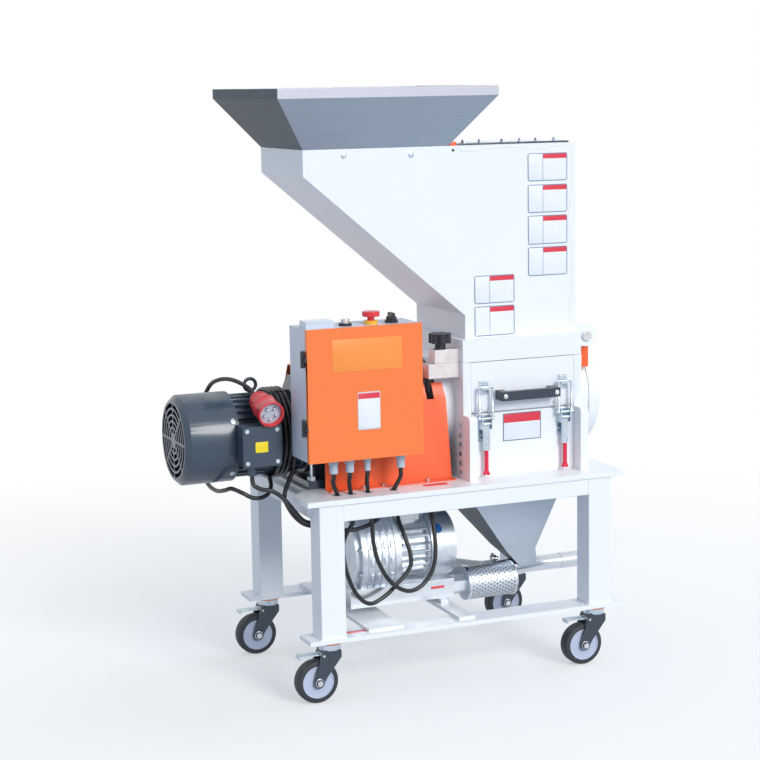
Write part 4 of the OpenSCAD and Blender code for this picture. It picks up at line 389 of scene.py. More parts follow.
def turned(profile, centre, axis, steps=48, facets=0, ring=False):
    """A profile of (radius, height) carried round an axis; with facets the radius follows a polygon of so many flats,
    as the cosine of half a flat's angle over the cosine of the angle from the flat's middle.
    A ring's profile closes on itself, which leaves its hole open."""
    profile = np.asarray(profile, float)
    a, b, c = basis(axis)
    t = round_turn(steps)
    swell = np.ones(steps)
    if facets:
        half = np.pi / facets
        swell = np.cos(half) / np.cos((t + half) % (2 * half) - half)
    across = np.cos(t)[:, None] * a + np.sin(t)[:, None] * b
    radii, heights = profile[:, 0, None, None], profile[:, 1, None, None]
    return shell(np.asarray(centre, float) + radii * swell[None, :, None] * across[None] + heights * c, ring)


def smooth_line(route, steps):
    """Catmull-Rom points: the cubic through each pair of route points, whose slope at a point is half the step
    between its two neighbours."""
    route = np.asarray(route, float)
    padded = np.concatenate([[2 * route[0] - route[1]], route, [2 * route[-1] - route[-2]]])
    a, b, c, d = (padded[k:len(padded) - 3 + k, None] for k in range(4))
    t = (np.arange(steps) / steps)[None, :, None]
    line = (2 * b + (c - a) * t + (2 * a - 5 * b + 4 * c - d) * t ** 2 + (3 * b - a - 3 * c + d) * t ** 3) / 2
    return np.concatenate([line.reshape(-1, 3), route[-1:]])


def led(route, out, into):
    """A cord's route led straight out of one face and into the other for a diameter, smooth between."""
    route = np.asarray(route, float)
    first, last = route[0] + 2 * CORD_R * np.asarray(out), route[-1] - 2 * CORD_R * np.asarray(into)
    inner = np.concatenate([[first], route[1:-1], [last]])
    return np.concatenate([route[:1], smooth_line(inner, 6), route[-1:]])


def tube(line, radii, reference, around=14):
    """A round section carried along a line: at each point one side direction is square to the heading and to the
    reference, and the other is square to both."""
    line = np.asarray(line, float)
    ahead = np.gradient(line, axis=0)
    ahead /= np.linalg.norm(ahead, axis=1)[:, None]
    first = np.cross(ahead, np.broadcast_to(reference, line.shape))
    first /= np.linalg.norm(first, axis=1)[:, None]
    second = np.cross(ahead, first)
    t = round_turn(around)[None, :, None]
    radii = np.broadcast_to(radii, len(line))[:, None, None]
    return shell(line[:, None] + radii * (np.cos(t) * first[:, None] + np.sin(t) * second[:, None]))


def rounded(w, h, r, steps=6):
    """The outline of a w by h rectangle with quarter-circle corners of radius r, centred, counter-clockwise."""
    t = np.linspace(0.0, np.pi / 2, steps)
    corner = np.stack([np.cos(t), np.sin(t)], axis=1) * r
    parts = []
    for k, (sx, sy) in enumerate([(1, 1), (-1, 1), (-1, -1), (1, -1)]):
        across, upward = math.cos(k * np.pi / 2), math.sin(k * np.pi / 2)
        turn = np.array([[across, -upward], [upward, across]])
        parts.append(corner @ turn.T + [sx * (w / 2 - r), sy * (h / 2 - r)])
    return np.concatenate(parts)


def plate(centre, across, upward, w, h, t, r, edge):
    """A thin plate with rounded corners: its outline at the back, up its edge, then drawn in over a small round;
    with a UV of 0 to 1 over its face."""
    outline = rounded(w, h, r)
    across, upward = np.asarray(across, float), np.asarray(upward, float)
    outward = np.cross(across, upward)
    rings, uvs = [], []
    for share, lift in ((0.0, 0.0), (0.0, t - edge), (0.3, t - 0.3 * edge), (1.0, t)):
        scale = 1.0 - 2.0 * share * edge / np.array([w, h])
        flat = outline * scale
        rings.append(np.asarray(centre, float) + flat[:, :1] * across + flat[:, 1:] * upward + lift * outward)
        uvs.append(flat / [w, h] + 0.5)
    points, faces = shell(rings)
    return points, faces, np.concatenate(uvs)


# A CAD node's copy: the merging distance in metres, the angles under which faces are one plane and edges stay plain
MERGE_M, PLANE_ANGLE, EDGE_ANGLE = 2e-6, math.radians(0.5), math.radians(32.0)


def dressed(node, width, materials, pick=None):
    """A CAD node's copy with its triangles merged and its edges eased by a width in millimetres.
    pick gives each face's material from the x, y and z of its centre, in machine millimetres, and its normal."""
    mesh = nodes[node].data.copy()
    mesh.name = node + "_finished"
    made = bmesh.new()
    made.from_mesh(mesh)
    bmesh.ops.remove_doubles(made, verts=made.verts, dist=MERGE_M)
    bmesh.ops.dissolve_limit(made, angle_limit=PLANE_ANGLE, verts=made.verts, edges=made.edges)
    made.to_mesh(mesh)
    made.free()
    mesh.materials.clear()
    for material in materials:
        mesh.materials.append(material)
    count = len(mesh.polygons)
    index = np.zeros(count, np.int32)
    if pick is not None:
        centres, normals = np.zeros(count * 3), np.zeros(count * 3)
        mesh.polygons.foreach_get("center", centres)
        mesh.polygons.foreach_get("normal", normals)
        x, y, z = (centres.reshape(-1, 3) * 1000.0 - FRAME_SHIFT).T
        index = np.asarray(pick(x, y, z, normals.reshape(-1, 3).T), np.int32)
    mesh.polygons.foreach_set("material_index", index)
    mesh.polygons.foreach_set("use_smooth", np.ones(count, bool))
    mesh.set_sharp_from_angle(angle=EDGE_ANGLE)
    piece = bpy.data.objects.new(node + "_finished", mesh)
    bpy.context.scene.collection.objects.link(piece)
    if width > 0:
        eased = piece.modifiers.new("eased_edges", "BEVEL")
        eased.width = width / 1000.0
        eased.segments = 2
        eased.limit_method = "ANGLE"
        eased.angle_limit = EDGE_ANGLE
        eased.use_clamp_overlap = True
        eased.harden_normals = True
    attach(piece, node_body[node])
    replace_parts(piece, node)


def finish_node(node, material):
    """A material given to a CAD node's own slot; its mesh stays as it is."""
    mesh = nodes[node].data
    mesh.materials.clear()
    mesh.materials.append(material)


# Cords, on the routes that the part's own cables take

BLOWER_CABLE = [(-282, -205, 524), (-282, -200, 500), (-276, -193, 470), (-268, -187, 430), (-268, -180, 400),
    (-280, -166, 368), (-285, -160, 335), (-276, -158, 280), (-252, -155, 225), (-218, -150, 196),
    (-180, -146, 206), (-146, -142, 230), (-108, -136, 266), (-104, -130, 298), (-112, -118, 336),
    (-118, -98, 370), (-115, -76, 397), (-104, -52, 412), (-88, -32, 413), (-78, -22, 401), (-76, -20, 382)]
SWITCH_CABLE = [(-239, -205, 524), (-239, -200, 500), (-234, -193, 470), (-228, -187, 430), (-222, -185, 396),
    (-216, -176, 350), (-204, -170, 305), (-182, -168, 262), (-154, -166, 232), (-119, -164, 218),
    (-84, -160, 230), (-58, -156, 262), (-48, -150, 305), (-46, -138, 355), (-48, -120, 400),
    (-50, -104, 440), (-50, -100, 480), (-50, -100, 600), (-50, -106, 650), (-50, -118, 680), (-50, -126, 711)]
MOTOR_CABLE = [(-321, -205, 524), (-321, -200, 500), (-308, -193, 470), (-298, -186, 440), (-304, -178, 415),
    (-322, -166, 404), (-350, -160, 403), (-376, -155, 410), (-394, -150, 430), (-420, -142, 464),
    (-446, -140, 483), (-468, -134, 488), (-483, -127, 496), (-487, -124, 508), (-487, -124, 520)]
MAINS_FROM_BOX = [(-157, -205, 524), (-157, -202, 500), (-172, -195, 470), (-190, -187, 440), (-200, -180, 408),
    (-222, -168, 388), (-262, -160, 378), (-310, -155, 384), (-350, -150, 393), (-378, -144, 404),
    (-400, -134, 430), (-408, -116, 462), (-390, -98, 494), (-376, -90, 516)]
MAINS_TO_PLUG = [(-416, -40, 490), (-424, -70, 480), (-440, -95, 468), (-462, -108, 463), (-484, -110, 466),
    (-505, -106, 478), (-524, -86, 486), (-532, -60, 478), (-536, -10, 468), (-538, 50, 474),
    (-538, 100, 510), (-534, 128, 570), (-526, 125, 640), (-513, 96, 694), (-500, 60, 714),
    (-484, 20, 719), (-468, -14, 712), (-457, -36, 702)]
AIR_HOSE = [(14, 80, 200), (34, 80, 200), (54, 79, 200), (76, 70, 200), (92, 52, 201), (106, 30, 202),
    (120, 6, 203), (136, -11, 204), (150, -15, 204), (164, -15, 204), (178, -15, 204)]

# The coil's radius, pitch, left start and start angle; steps to a turn and in all
COIL_R, COIL_PITCH, COIL_X, COIL_START = 101.3, 11.0, -372.0, 110.0
TURN_STEPS, COIL_STEPS = 24, 92

# The plug lies tilted with its collar on the motor's terminal box, its face this far ahead of the box's front
PLUG_R, PLUG_L, PLUG_TILT, PLUG_AHEAD, TERMINAL_TOP = 30.0, 110.0, math.radians(13.0), 18.0, 544 + 91 + 1 + 0.3
PLUG_AXIS = spoke(PLUG_TILT)
PLUG_FACE = np.array([-452.0, -168.0, TERMINAL_TOP + PLUG_R / math.cos(PLUG_TILT) - PLUG_AHEAD * math.tan(PLUG_TILT)])
PLUG_REAR = PLUG_FACE + PLUG_L * PLUG_AXIS


def coil_point(i):
    """The mains coil: a circle about the motor's axis from the lower front up over the top, drifting left a pitch
    a turn."""
    i = np.asarray(i, float)
    a = np.radians(COIL_START - 360.0 * i / TURN_STEPS)
    left = COIL_X - COIL_PITCH * i / TURN_STEPS
    return np.stack([left, -COIL_R * np.sin(a), MOTOR_Z + COIL_R * np.cos(a)], axis=-1)


def coil_heading(i):
    """The direction of travel round the coil."""
    a = math.radians(COIL_START - 360.0 * i / TURN_STEPS)
    way = np.array([-COIL_PITCH / (2 * math.pi * COIL_R), math.cos(a), math.sin(a)])
    return way / np.linalg.norm(way)


def cable(name, line, reference, nodes_stood_for):
    """A round black cable along a line, standing in for the part's own cable nodes."""
    piece = add(name, *tube(line, CORD_R, reference), "frame", cord_rubber, sharp=60.0)
    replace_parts(piece, *nodes_stood_for)


def plug_ribs(low, high, r, count):
    """Grip ribs of the plug: thin tubes along its axis, thickest halfway, evenly spaced round it."""
    a, b, c = basis(PLUG_AXIS)
    ribs = []
    for t in round_turn(count):
        line = [PLUG_FACE + r * (math.cos(t) * a + math.sin(t) * b) + h * c for h in (low, (low + high) / 2, high)]
        ribs.append(tube(line, [0.5, 1.0, 0.5], b * math.cos(t) - a * math.sin(t), 8))
    return ribs


def plug_piece():
    """The five-pin plug, turned about its axis: a round collar with a rolled lip round a recessed pin face,
    a ribbed grip and a gland nut."""
    outline = [(25.6, 13.0), (25.6, 1.5), (26.6, 0.2), (28.8, 0.0), (PLUG_R, 1.2), (PLUG_R, 6.0), (28.9, 7.5),
        (28.7, 40.0), (29.6, 42.0), (29.6, 48.0), (28.0, 50.0), (24.4, 51.0), (24.0, 53.0), (24.0, 60.0),
        (22.6, 62.0), (22.6, 80.0), (23.8, 82.0), (23.8, 84.5), (22.0, 85.0), (17.2, 85.6), (17.2, 88.0),
        (16.8, 100.0), (14.0, 106.0), (8.0, 109.5), (5.2, PLUG_L)]
    body = turned(outline, PLUG_FACE, PLUG_AXIS, 64)
    ribs = plug_ribs(63.0, 79.0, 22.6, 20) + plug_ribs(88.0, 101.0, 16.6, 14)
    piece = add("mains_plug_shell", *gathered([body] + ribs), "frame", plug_red, sharp=40.0)
    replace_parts(piece, "mains_plug")
    add("mains_plug_pin_face", *turned([(25.5, 12.0), (25.5, 15.0)], PLUG_FACE, PLUG_AXIS), "frame", gland_plastic)
    a, b, c = basis(PLUG_AXIS)
    pins = [turned([(1.4, 2.6), (2.6, 3.6), (3.0, 5.0), (3.0, 12.5)],
        PLUG_FACE + 14.0 * (math.cos(t) * a + math.sin(t) * b), PLUG_AXIS, 20) for t in round_turn(5, 0.3)]
    add("mains_plug_pins", *gathered(pins), "frame", bright_steel)
    return piece


def mains_cord():
    """The mains cord from the control box through its coil round the motor to the plug. The tube's reference is
    the rear at first, and X from a little ahead of the coil on, since the coil turns square to it."""
    ahead_of_coil = 20
    plug = plug_piece()
    into, out = coil_heading(0), coil_heading(COIL_STEPS)
    coil_in, coil_out = coil_point(0) - 2 * CORD_R * into, coil_point(COIL_STEPS) + 2 * CORD_R * out
    start = led(np.concatenate([MAINS_FROM_BOX, [coil_in]]), DOWN, into)
    turns = coil_point(np.arange(0, COIL_STEPS * 3 + 1) / 3.0)
    rest = led(np.concatenate([[coil_out], MAINS_TO_PLUG, [PLUG_REAR]]), out, -PLUG_AXIS)
    line = np.concatenate([start, turns, rest])
    from_box = len(start) - ahead_of_coil
    reference = np.concatenate([np.tile([0.0, 1.0, 0.2], (from_box, 1)), np.tile(X, (len(line) - from_box, 1))])
    cable("mains_cord_sheath", line, reference, ["mains_cord", "mains_coil"])


def air_hose():
    """The ribbed hose: a tube whose radius swells by a cosine of the length along it, plain at both ends."""
    middle_r, rib_h, rib_pitch, plain_end = 21.4, 1.5, 5.5, 12.0
    hose = smooth_line(AIR_HOSE, 16)
    along = np.concatenate([[0.0], np.cumsum(np.linalg.norm(np.diff(hose, axis=0), axis=1))])
    fine = np.linspace(0.0, along[-1], 420)
    hose = np.stack([np.interp(fine, along, hose[:, k]) for k in range(3)], axis=1)
    ribbed = np.clip(np.minimum(fine, along[-1] - fine) / plain_end - 1.0, 0.0, 1.0)
    radii = middle_r + rib_h * np.cos(fine * 2 * np.pi / rib_pitch) * ribbed
    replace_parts(add("ribbed_air_hose", *tube(hose, radii, UP, 32), "frame", hose_skin, sharp=75.0), "air_hose")


mains_cord()
for cable_name, cable_route, end_heading in (("blower_cable", BLOWER_CABLE, DOWN), ("switch_cable", SWITCH_CABLE, UP),
        ("motor_cable", MOTOR_CABLE, UP)):
    cable(cable_name, led(cable_route, DOWN, end_heading), REAR, ["control_cables"])
air_hose()


# Label films in plain colours

def film(name, face, head=None, head_from=0.8, left_share=0.0, line=None, rough=0.3):
    """A film on its own UV: a face colour, a head strip above a height and right of the divider, and with a line
    colour an outline near the edge and a divider at the left share."""
    outline_from_middle, divider_half_w = (0.478, 0.468), 0.006
    material, tree, shader = new_material(name)
    shader.inputs["Coat Weight"].default_value = 0.25
    shader.inputs["Coat Roughness"].default_value = 0.2
    spot = wire(tree, "ShaderNodeUVMap", uv_map="face_uv").outputs[0]
    split = wire(tree, "ShaderNodeSeparateXYZ", {0: spot}).outputs
    mottle = noise(tree, wire(tree, "ShaderNodeTexCoord").outputs["Object"], 60.0, 4.0)
    colour = mixed(tree, ramp(tree, mottle, 0.3, 0.75, 0.0, 0.35), (*face, 1), (*[c * 0.86 for c in face], 1))
    if head is not None:
        above = sums(tree, "GREATER_THAN", split[1], head_from)
        beside = sums(tree, "GREATER_THAN", split[0], left_share)
        colour = mixed(tree, sums(tree, "MULTIPLY", above, beside), colour, (*head, 1))
    if line is not None:
        from_middle = [sums(tree, "ABSOLUTE", sums(tree, "SUBTRACT", split[k], 0.5)) for k in (0, 1)]
        edges = [sums(tree, "GREATER_THAN", *pair) for pair in zip(from_middle, outline_from_middle)]
        band = sums(tree, "MAXIMUM", *edges)
        if left_share:
            beside = sums(tree, "ABSOLUTE", sums(tree, "SUBTRACT", split[0], left_share))
            band = sums(tree, "MAXIMUM", band, sums(tree, "LESS_THAN", beside, divider_half_w))
        colour = mixed(tree, band, colour, (*line, 1))
    tree.links.new(colour, shader.inputs["Base Color"])
    tree.links.new(ramp(tree, mottle, 0.0, 1.0, rough - 0.05, rough + 0.08), shader.inputs["Roughness"])
    raised = wire(tree, "ShaderNodeBump", {"Strength": 0.08, "Distance": 0.00005, "Height": mottle})
    tree.links.new(raised.outputs[0], shader.inputs["Normal"])
    return material


RED, INK = (0.72, 0.02, 0.05), (0.16, 0.24, 0.36)
white_film = film("white_label_film", (0.86, 0.89, 0.93), RED, 0.8, 0.38, INK)
tall_film = film("white_box_label_film", (0.86, 0.88, 0.92), RED, 0.82, 0.0, (0.60, 0.66, 0.76))
orange_film = film("orange_label_film", (1.0, 0.30, 0.05), None, rough=0.28)
name_film = film("nameplate_film", (0.80, 0.84, 0.90), RED, 0.66, 0.0, (0.13, 0.16, 0.24))
red_film = film("red_label_film", (0.78, 0.06, 0.08))
yellow_film = film("yellow_label_film", (0.93, 0.72, 0.01))
blue_film = film("blue_label_film", (0.02, 0.14, 0.42))


def flat_label(name, centre, w, h, material, body, upward=Z, t=0.5, r=3.0):
    """A label film lying on a face."""
    points, faces, uv = plate(centre, X, upward, w, h, t, r, 0.15)
    add(name, points, faces, body, material, uv=uv, sharp=50.0)


def labels():
    """The label films where the machine carries its plates."""
    right, left = (203, 307), (63, 167)
    for k, ((x0, x1), z0, z1) in enumerate([(right, 1157, 1222), (right, 1083, 1149), (right, 1009, 1077),
            (right, 935, 1003), (left, 877, 943), (left, 801, 871)]):
        centre = ((x0 + x1) / 2, HOPPER_FACE, (z0 + z1) / 2)
        flat_label(f"hopper_label_{k + 1}", centre, x1 - x0, z1 - z0, white_film, "hopper", r=5.0)
    flat_label("door_label_wide", (-253, DOOR_FACE, 796), 167, 72, orange_film, "control_door", r=1.5, t=0.6)
    flat_label("door_label_tall", (-251, DOOR_FACE, 669), 54, 85, tall_film, "control_door", t=0.6)
    flat_label("front_nameplate", (172, CHAMBER_FACE, 585), 100, 66, name_film, "frame", r=1.5, t=0.7)
    flat_label("terminal_box_label", (-471, -150, 588), 30, 24, yellow_film, "frame", r=2.0)
    flat_label("table_label", (-64, -190, TABLE_Z), 60, 22, red_film, "frame", upward=Y, r=2.0)
    flat_label("rail_label", (-262, -206, RAIL_TOP), 70, 16, red_film, "frame", upward=Y, r=2.0)
    flat_label("silencer_label", (-30, -120.4, 206), 34, 6, red_film, "frame", r=1.0)
    t = math.radians(52.0)
    outward = np.array([0.0, -math.sin(t), math.cos(t)])
    middle = np.array([-4.0, 0.0, BLOWER_Z]) + 80.0 * outward
    disc = turned([(12.5, -1.6), (12.5, -0.2), (12.0, 0.05), (11.6, 0.1)], middle, outward, 40)
    add("blower_label", *disc, "frame", blue_film)


# Screws, seams, welds and other small pieces

def screw(centre, axis, r, h=3.0):
    """A domed screw head with its washer, turned round its axis."""
    washer = [(r * 1.5, 0.0), (r * 1.5, 0.7), (r * 1.42, 0.9), (r * 1.05, 0.9)]
    dome = [(r, 0.8), (r, 0.8 + 0.45 * h), (r * 0.82, 0.8 + 0.8 * h), (r * 0.45, 0.8 + h), (r * 0.3, 0.8 + h),
        (r * 0.28, 0.2 + h), (0.3, 0.2 + h)]
    return [turned(profile, centre, axis, 28) for profile in (washer, dome)]


def hex_bolt(centre, axis, r, h):
    """A chamfered hexagon head on a round washer, turned round its axis."""
    washer = [(r * 1.35, 0.0), (r * 1.35, 1.0), (r * 1.28, 1.2), (r * 0.9, 1.2)]
    head = [(r, 1.1), (r, 1.1 + 0.8 * h), (r * 0.93, 1.1 + h), (r * 0.2, 1.1 + h)]
    return [turned(washer, centre, axis, 28), turned(head, centre, axis, 36, facets=6)]


def weld(corners, reference, r=2.2, closed=True):
    """A weld bead: a round section along each side of a line of corners, its radius swelling with a short ripple."""
    points_a_run = 28
    corners = np.asarray(corners, float)
    ends = np.roll(corners, -1, axis=0) if closed else corners[1:]
    starts = corners if closed else corners[:-1]
    t = np.linspace(0.0, 1.0, points_a_run)[None, :, None]
    runs = starts[:, None] * (1 - t) + ends[:, None] * t
    swell = 1.0 + 0.16 * np.abs(np.sin(np.arange(points_a_run) * 1.1))
    swell[[0, -1]] *= 0.5
    return [tube(run, r * swell, reference, 8) for run in runs]


def hopper_trim():
    """The hopper's screws, rivet, folded seam, and the rubber strip with its bolts and stop on the top."""
    heads = []
    for y, axis in ((HOPPER_FACE, FRONT), (-HOPPER_FACE, REAR)):
        heads += screw((-257, y, 1230), axis, 4.6) + screw((-93, y, 1227), axis, 4.6)
    add("hopper_screws", *gathered(heads), "hopper", zinc, sharp=40.0)
    rivet = turned([(3.4, -0.4), (3.4, 0.15), (3.0, 0.25)], (12, HOPPER_FACE, 1235), FRONT, 24)
    add("hopper_rivet", *rivet, "hopper", black_plastic)
    lip = [(5, 1237), (30, 1237), (36, 1231), (78, 1231), (84, 1237), (200, 1237), (206, 1232), (250, 1232),
        (256, 1237), (318, 1237), (318, 1130), (313, 1124), (313, 1010), (318, 1004), (318, 880), (313, 874),
        (313, 812)]
    lip = [(x, HOPPER_FACE, z) for x, z in lip]
    seam = [tube(np.linspace(start, end, 3), 0.55, FRONT, 6) for start, end in zip(lip[:-1], lip[1:])]
    add("hopper_seam", *gathered(seam), "hopper", box_coat)
    strip_y, strip_t = -118, 4.0
    strip = plate((170, strip_y, HOPPER_TOP), X, Y, 296, 22, strip_t, 3.0, 0.8)
    add("hopper_top_strip", *strip[:2], "hopper", handle_plastic)
    nuts = [piece for x in (50, 92, 150, 196, 238, 286)
        for piece in hex_bolt((x, strip_y, HOPPER_TOP + strip_t), UP, 6.5, 7.0)]
    add("hopper_top_bolts", *gathered(nuts), "hopper", zinc, sharp=30.0)
    stop = plate((14, -128, HOPPER_TOP), X, Y, 18, 20, 9.0, 3.0, 1.2)
    add("hopper_top_stop", *stop[:2], "hopper", lug_coat)


def cowl_screws():
    """Four screws round the motor's fan cowl."""
    heads = []
    for turn in (0.5, 2.36, 3.93, 5.5):
        out = np.array([0.0, -math.cos(turn), math.sin(turn)])
        heads += screw(np.array([-517.0, 0.0, MOTOR_Z]) + 103.8 * out, out, 4.2, 2.6)
    add("cowl_screws", *gathered(heads), "frame", zinc, sharp=40.0)


def blower_details():
    """The blower's flange bolts, the radial ribs on its face, and the rings and pads round its casing."""
    def on_axis(x):
        return np.array([x, 0.0, BLOWER_Z])

    bolts = []
    for turn in round_turn(12, 0.26):
        bolts += hex_bolt(on_axis(-120.0) + 113.0 * spoke(turn), X, 4.5, 4.0)
        bolts += hex_bolt(on_axis(-220.0) + 114.5 * spoke(turn), -X, 4.5, 4.0)
    add("blower_bolts", *gathered(bolts), "frame", zinc, sharp=30.0)
    castings = []
    for turn in round_turn(24):
        line = on_axis(-119.6) + np.linspace(76.0, 106.0, 5)[:, None] * spoke(turn)
        castings.append(tube(line, [0.8, 1.9, 2.1, 1.9, 0.8], spoke(turn + np.pi / 2), 8))
    ring_x, ring_step = -204.0, 17.0
    ring = [(121.0, -2.4), (123.6, -1.8), (124.8, -0.9), (124.8, 0.9), (123.6, 1.8), (121.0, 2.4)]
    castings += [turned(ring, on_axis(ring_x + k * ring_step), X, 96, ring=True) for k in range(5)]
    for turn in round_turn(20):
        for k in range(4):
            centre = on_axis(ring_x + (k + 0.5) * ring_step) + 120.0 * spoke(turn)
            castings.append(plate(centre, X, spoke(turn - np.pi / 2), 9.0, 18.0, 5.4, 2.0, 1.4)[:2])
    add("blower_ribs", *gathered(castings), "frame", cast_aluminium, sharp=50.0)


def bearing_cap():
    """The stepped face of the right bearing cap and its six bolts."""
    middle = np.array([403.0, 0.0, ROTOR_Z])
    cap = [(106.0, 0.0), (104.0, 1.6), (99.0, 2.4), (40.0, 2.6), (36.0, 4.2), (20.0, 4.6), (1.0, 4.6)]
    add("bearing_cap_face", *turned(cap, middle, X, 72), "frame", white_coat)
    bolts = [piece for turn in round_turn(6, 0.4) for piece in hex_bolt(middle + 114.0 * spoke(turn), X, 5.0, 4.0)]
    add("bearing_cap_bolts", *gathered(bolts), "frame", zinc, sharp=30.0)


def frame_welds():
    """Weld beads round the legs' feet and beside the legs' tops."""
    beads = []
    for x in (-LEG_X, LEG_X):
        for y in (-LEG_Y, LEG_Y):
            foot = [(x + a, y + b, RAIL_TOP + 0.4) for a, b in ((-30, -30), (30, -30), (30, 30), (-30, 30))]
            beads += weld(foot, UP)
    for x in (-311.2, 311.2):
        for y in (-240, 240):
            beads += weld([(x, y, 420), (x, y, 458)], REAR, r=1.4, closed=False)
    add("frame_weld_beads", *gathered(beads), "frame", white_coat, sharp=60.0)


def coil_ties():
    """Two cable ties round the coil's strands: an ellipse as a tube, with a square head on its outside."""
    ties = []
    loop = np.linspace(0.0, 2 * np.pi, 40)[:, None]
    for turn in np.radians((-35.0, 20.0)):
        out = np.array([0.0, -math.sin(turn), math.cos(turn)])
        middle = np.array([-393.0, 0.0, MOTOR_Z]) + (COIL_R - 0.2) * out
        ties.append(tube(middle + 27.5 * np.cos(loop) * X + 5.9 * np.sin(loop) * out, 0.9, np.cross(X, out), 8))
        ties.append(turned([(2.4, 5.0), (2.8, 5.6), (2.8, 9.0), (2.2, 9.6)], middle, out, 16, facets=4))
    add("coil_ties", *gathered(ties), "frame", black_plastic, sharp=40.0)


def hose_clamps():
    """A band clamp at each end of the air hose: the band with its two lugs, and its bolt and nut."""
    band = [(22.2, -7.0), (24.2, -7.0), (24.6, -6.0), (23.9, -4.5), (23.9, 4.5), (24.6, 6.0), (24.2, 7.0), (22.2, 7.0)]
    lug = [(3.6, -8.0), (4.2, -7.4), (4.2, 7.4), (3.6, 8.0)]
    clamps, bolts = [], []
    for x, y, z in ((24.0, 80.0, 200.0), (171.0, -15.0, 204.0)):
        clamps.append(turned(band, (x, y, z), X, 56, ring=True))
        clamps += [turned(lug, (x, y + s, z + 27.5), X, 20) for s in (-4.0, 8.0)]
        middle, axis = (x, y, z + 28.0), (0.0, 1.0, 0.35)
        bolts.append(turned([(2.0, -16.0), (2.0, 15.0), (1.6, 16.0)], middle, axis, 16))
        bolts.append(turned([(4.6, 10.0), (4.8, 10.5), (4.8, 14.0), (4.2, 14.6)], middle, axis, 18, facets=6))
    add("hose_clamps", *gathered(clamps), "frame", pipe_steel, sharp=35.0)
    add("hose_clamp_bolts", *gathered(bolts), "frame", bright_steel, sharp=35.0)


def filter_basket():
    """The perforated basket's look: dark round discs on its skin, each row turned half a pitch from the last; its end
    bands and its thread."""
    rows_along, holes_round, first_x, last_x = 15, 26, 59.5, 167.5
    y, z, skin_r, hole_r = -93.0, 200.0, 40.35, 2.1
    k = np.arange(rows_along)[:, None]
    x = first_x + k * (last_x - first_x) / (rows_along - 1)
    t = round_turn(holes_round) + (k % 2) * np.pi / holes_round
    out = np.stack([np.zeros_like(t), np.cos(t), np.sin(t)], axis=-1)
    side = np.stack([np.zeros_like(t), -np.sin(t), np.cos(t)], axis=-1)
    middles = skin_r * out + np.stack([x, y + 0 * x, z + 0 * x], axis=-1)
    a = round_turn(8)[:, None]
    rings = middles[:, :, None] + hole_r * (np.cos(a) * X + np.sin(a) * side[:, :, None])
    faces = np.arange(rows_along * holes_round * 8).reshape(-1, 8).tolist()
    add("filter_holes", rings.reshape(-1, 3), faces, "frame", hole_shade, smooth=False)
    band = [(39.7, -3.2), (41.2, -3.0), (41.6, -1.5), (41.6, 1.5), (41.2, 3.0), (39.7, 3.2)]
    bands = [turned(band, (end, y, z), X, 64, ring=True) for end in (52.6, 174.6)]
    add("filter_bands", *gathered(bands), "frame", pipe_steel)
    thread = [(15.5, -6.0)] + [(17.5 + (k % 2), -5.0 + k) for k in range(11)] + [(15.5, 6.0)]
    add("filter_thread", *turned(thread, (10.0, y, z), X, 32), "frame", bright_steel)


def latch_details():
    """Rivets and springs of the two latches, and the screws of the handle."""
    rivet = [(2.6, 0.0), (2.4, 0.9), (1.4, 1.5), (0.4, 1.6)]
    rivet_y = CHAMBER_FACE - 2.5
    wind = np.linspace(0.0, 9 * 2 * np.pi, 170)
    rivets, springs, catches, heads = [], [], [], []
    for x in LATCH_X:
        rivets += [turned(rivet, (x + dx, rivet_y, z), FRONT, 18) for dx in (-9.0, 9.0) for z in (562.0, 572.0)]
        catches += [turned(rivet, (x + dx, rivet_y, 696.0), FRONT, 18) for dx in (-6.0, 6.0)]
        for s in (-17.0, 17.0):
            line = [x + s + 3.9 * np.cos(wind), -180.0 + 3.9 * np.sin(wind), 622.0 + wind * 24.0 / wind[-1]]
            springs.append(tube(np.stack(line, axis=1), 0.6, UP, 6))
    for x in (112.0, 246.0):
        heads += screw((x, CHAMBER_FACE - 38.0, 665.0), FRONT, 3.6, 2.0)
    add("latch_rivets", *gathered(rivets), "frame", zinc, sharp=50.0)
    add("latch_springs", *gathered(springs), "latch_bows", bright_steel, sharp=60.0)
    add("handle_screws", *gathered(heads), "front_door", bright_steel, sharp=40.0)
    add("catch_rivets", *gathered(catches), "front_door", zinc, sharp=50.0)


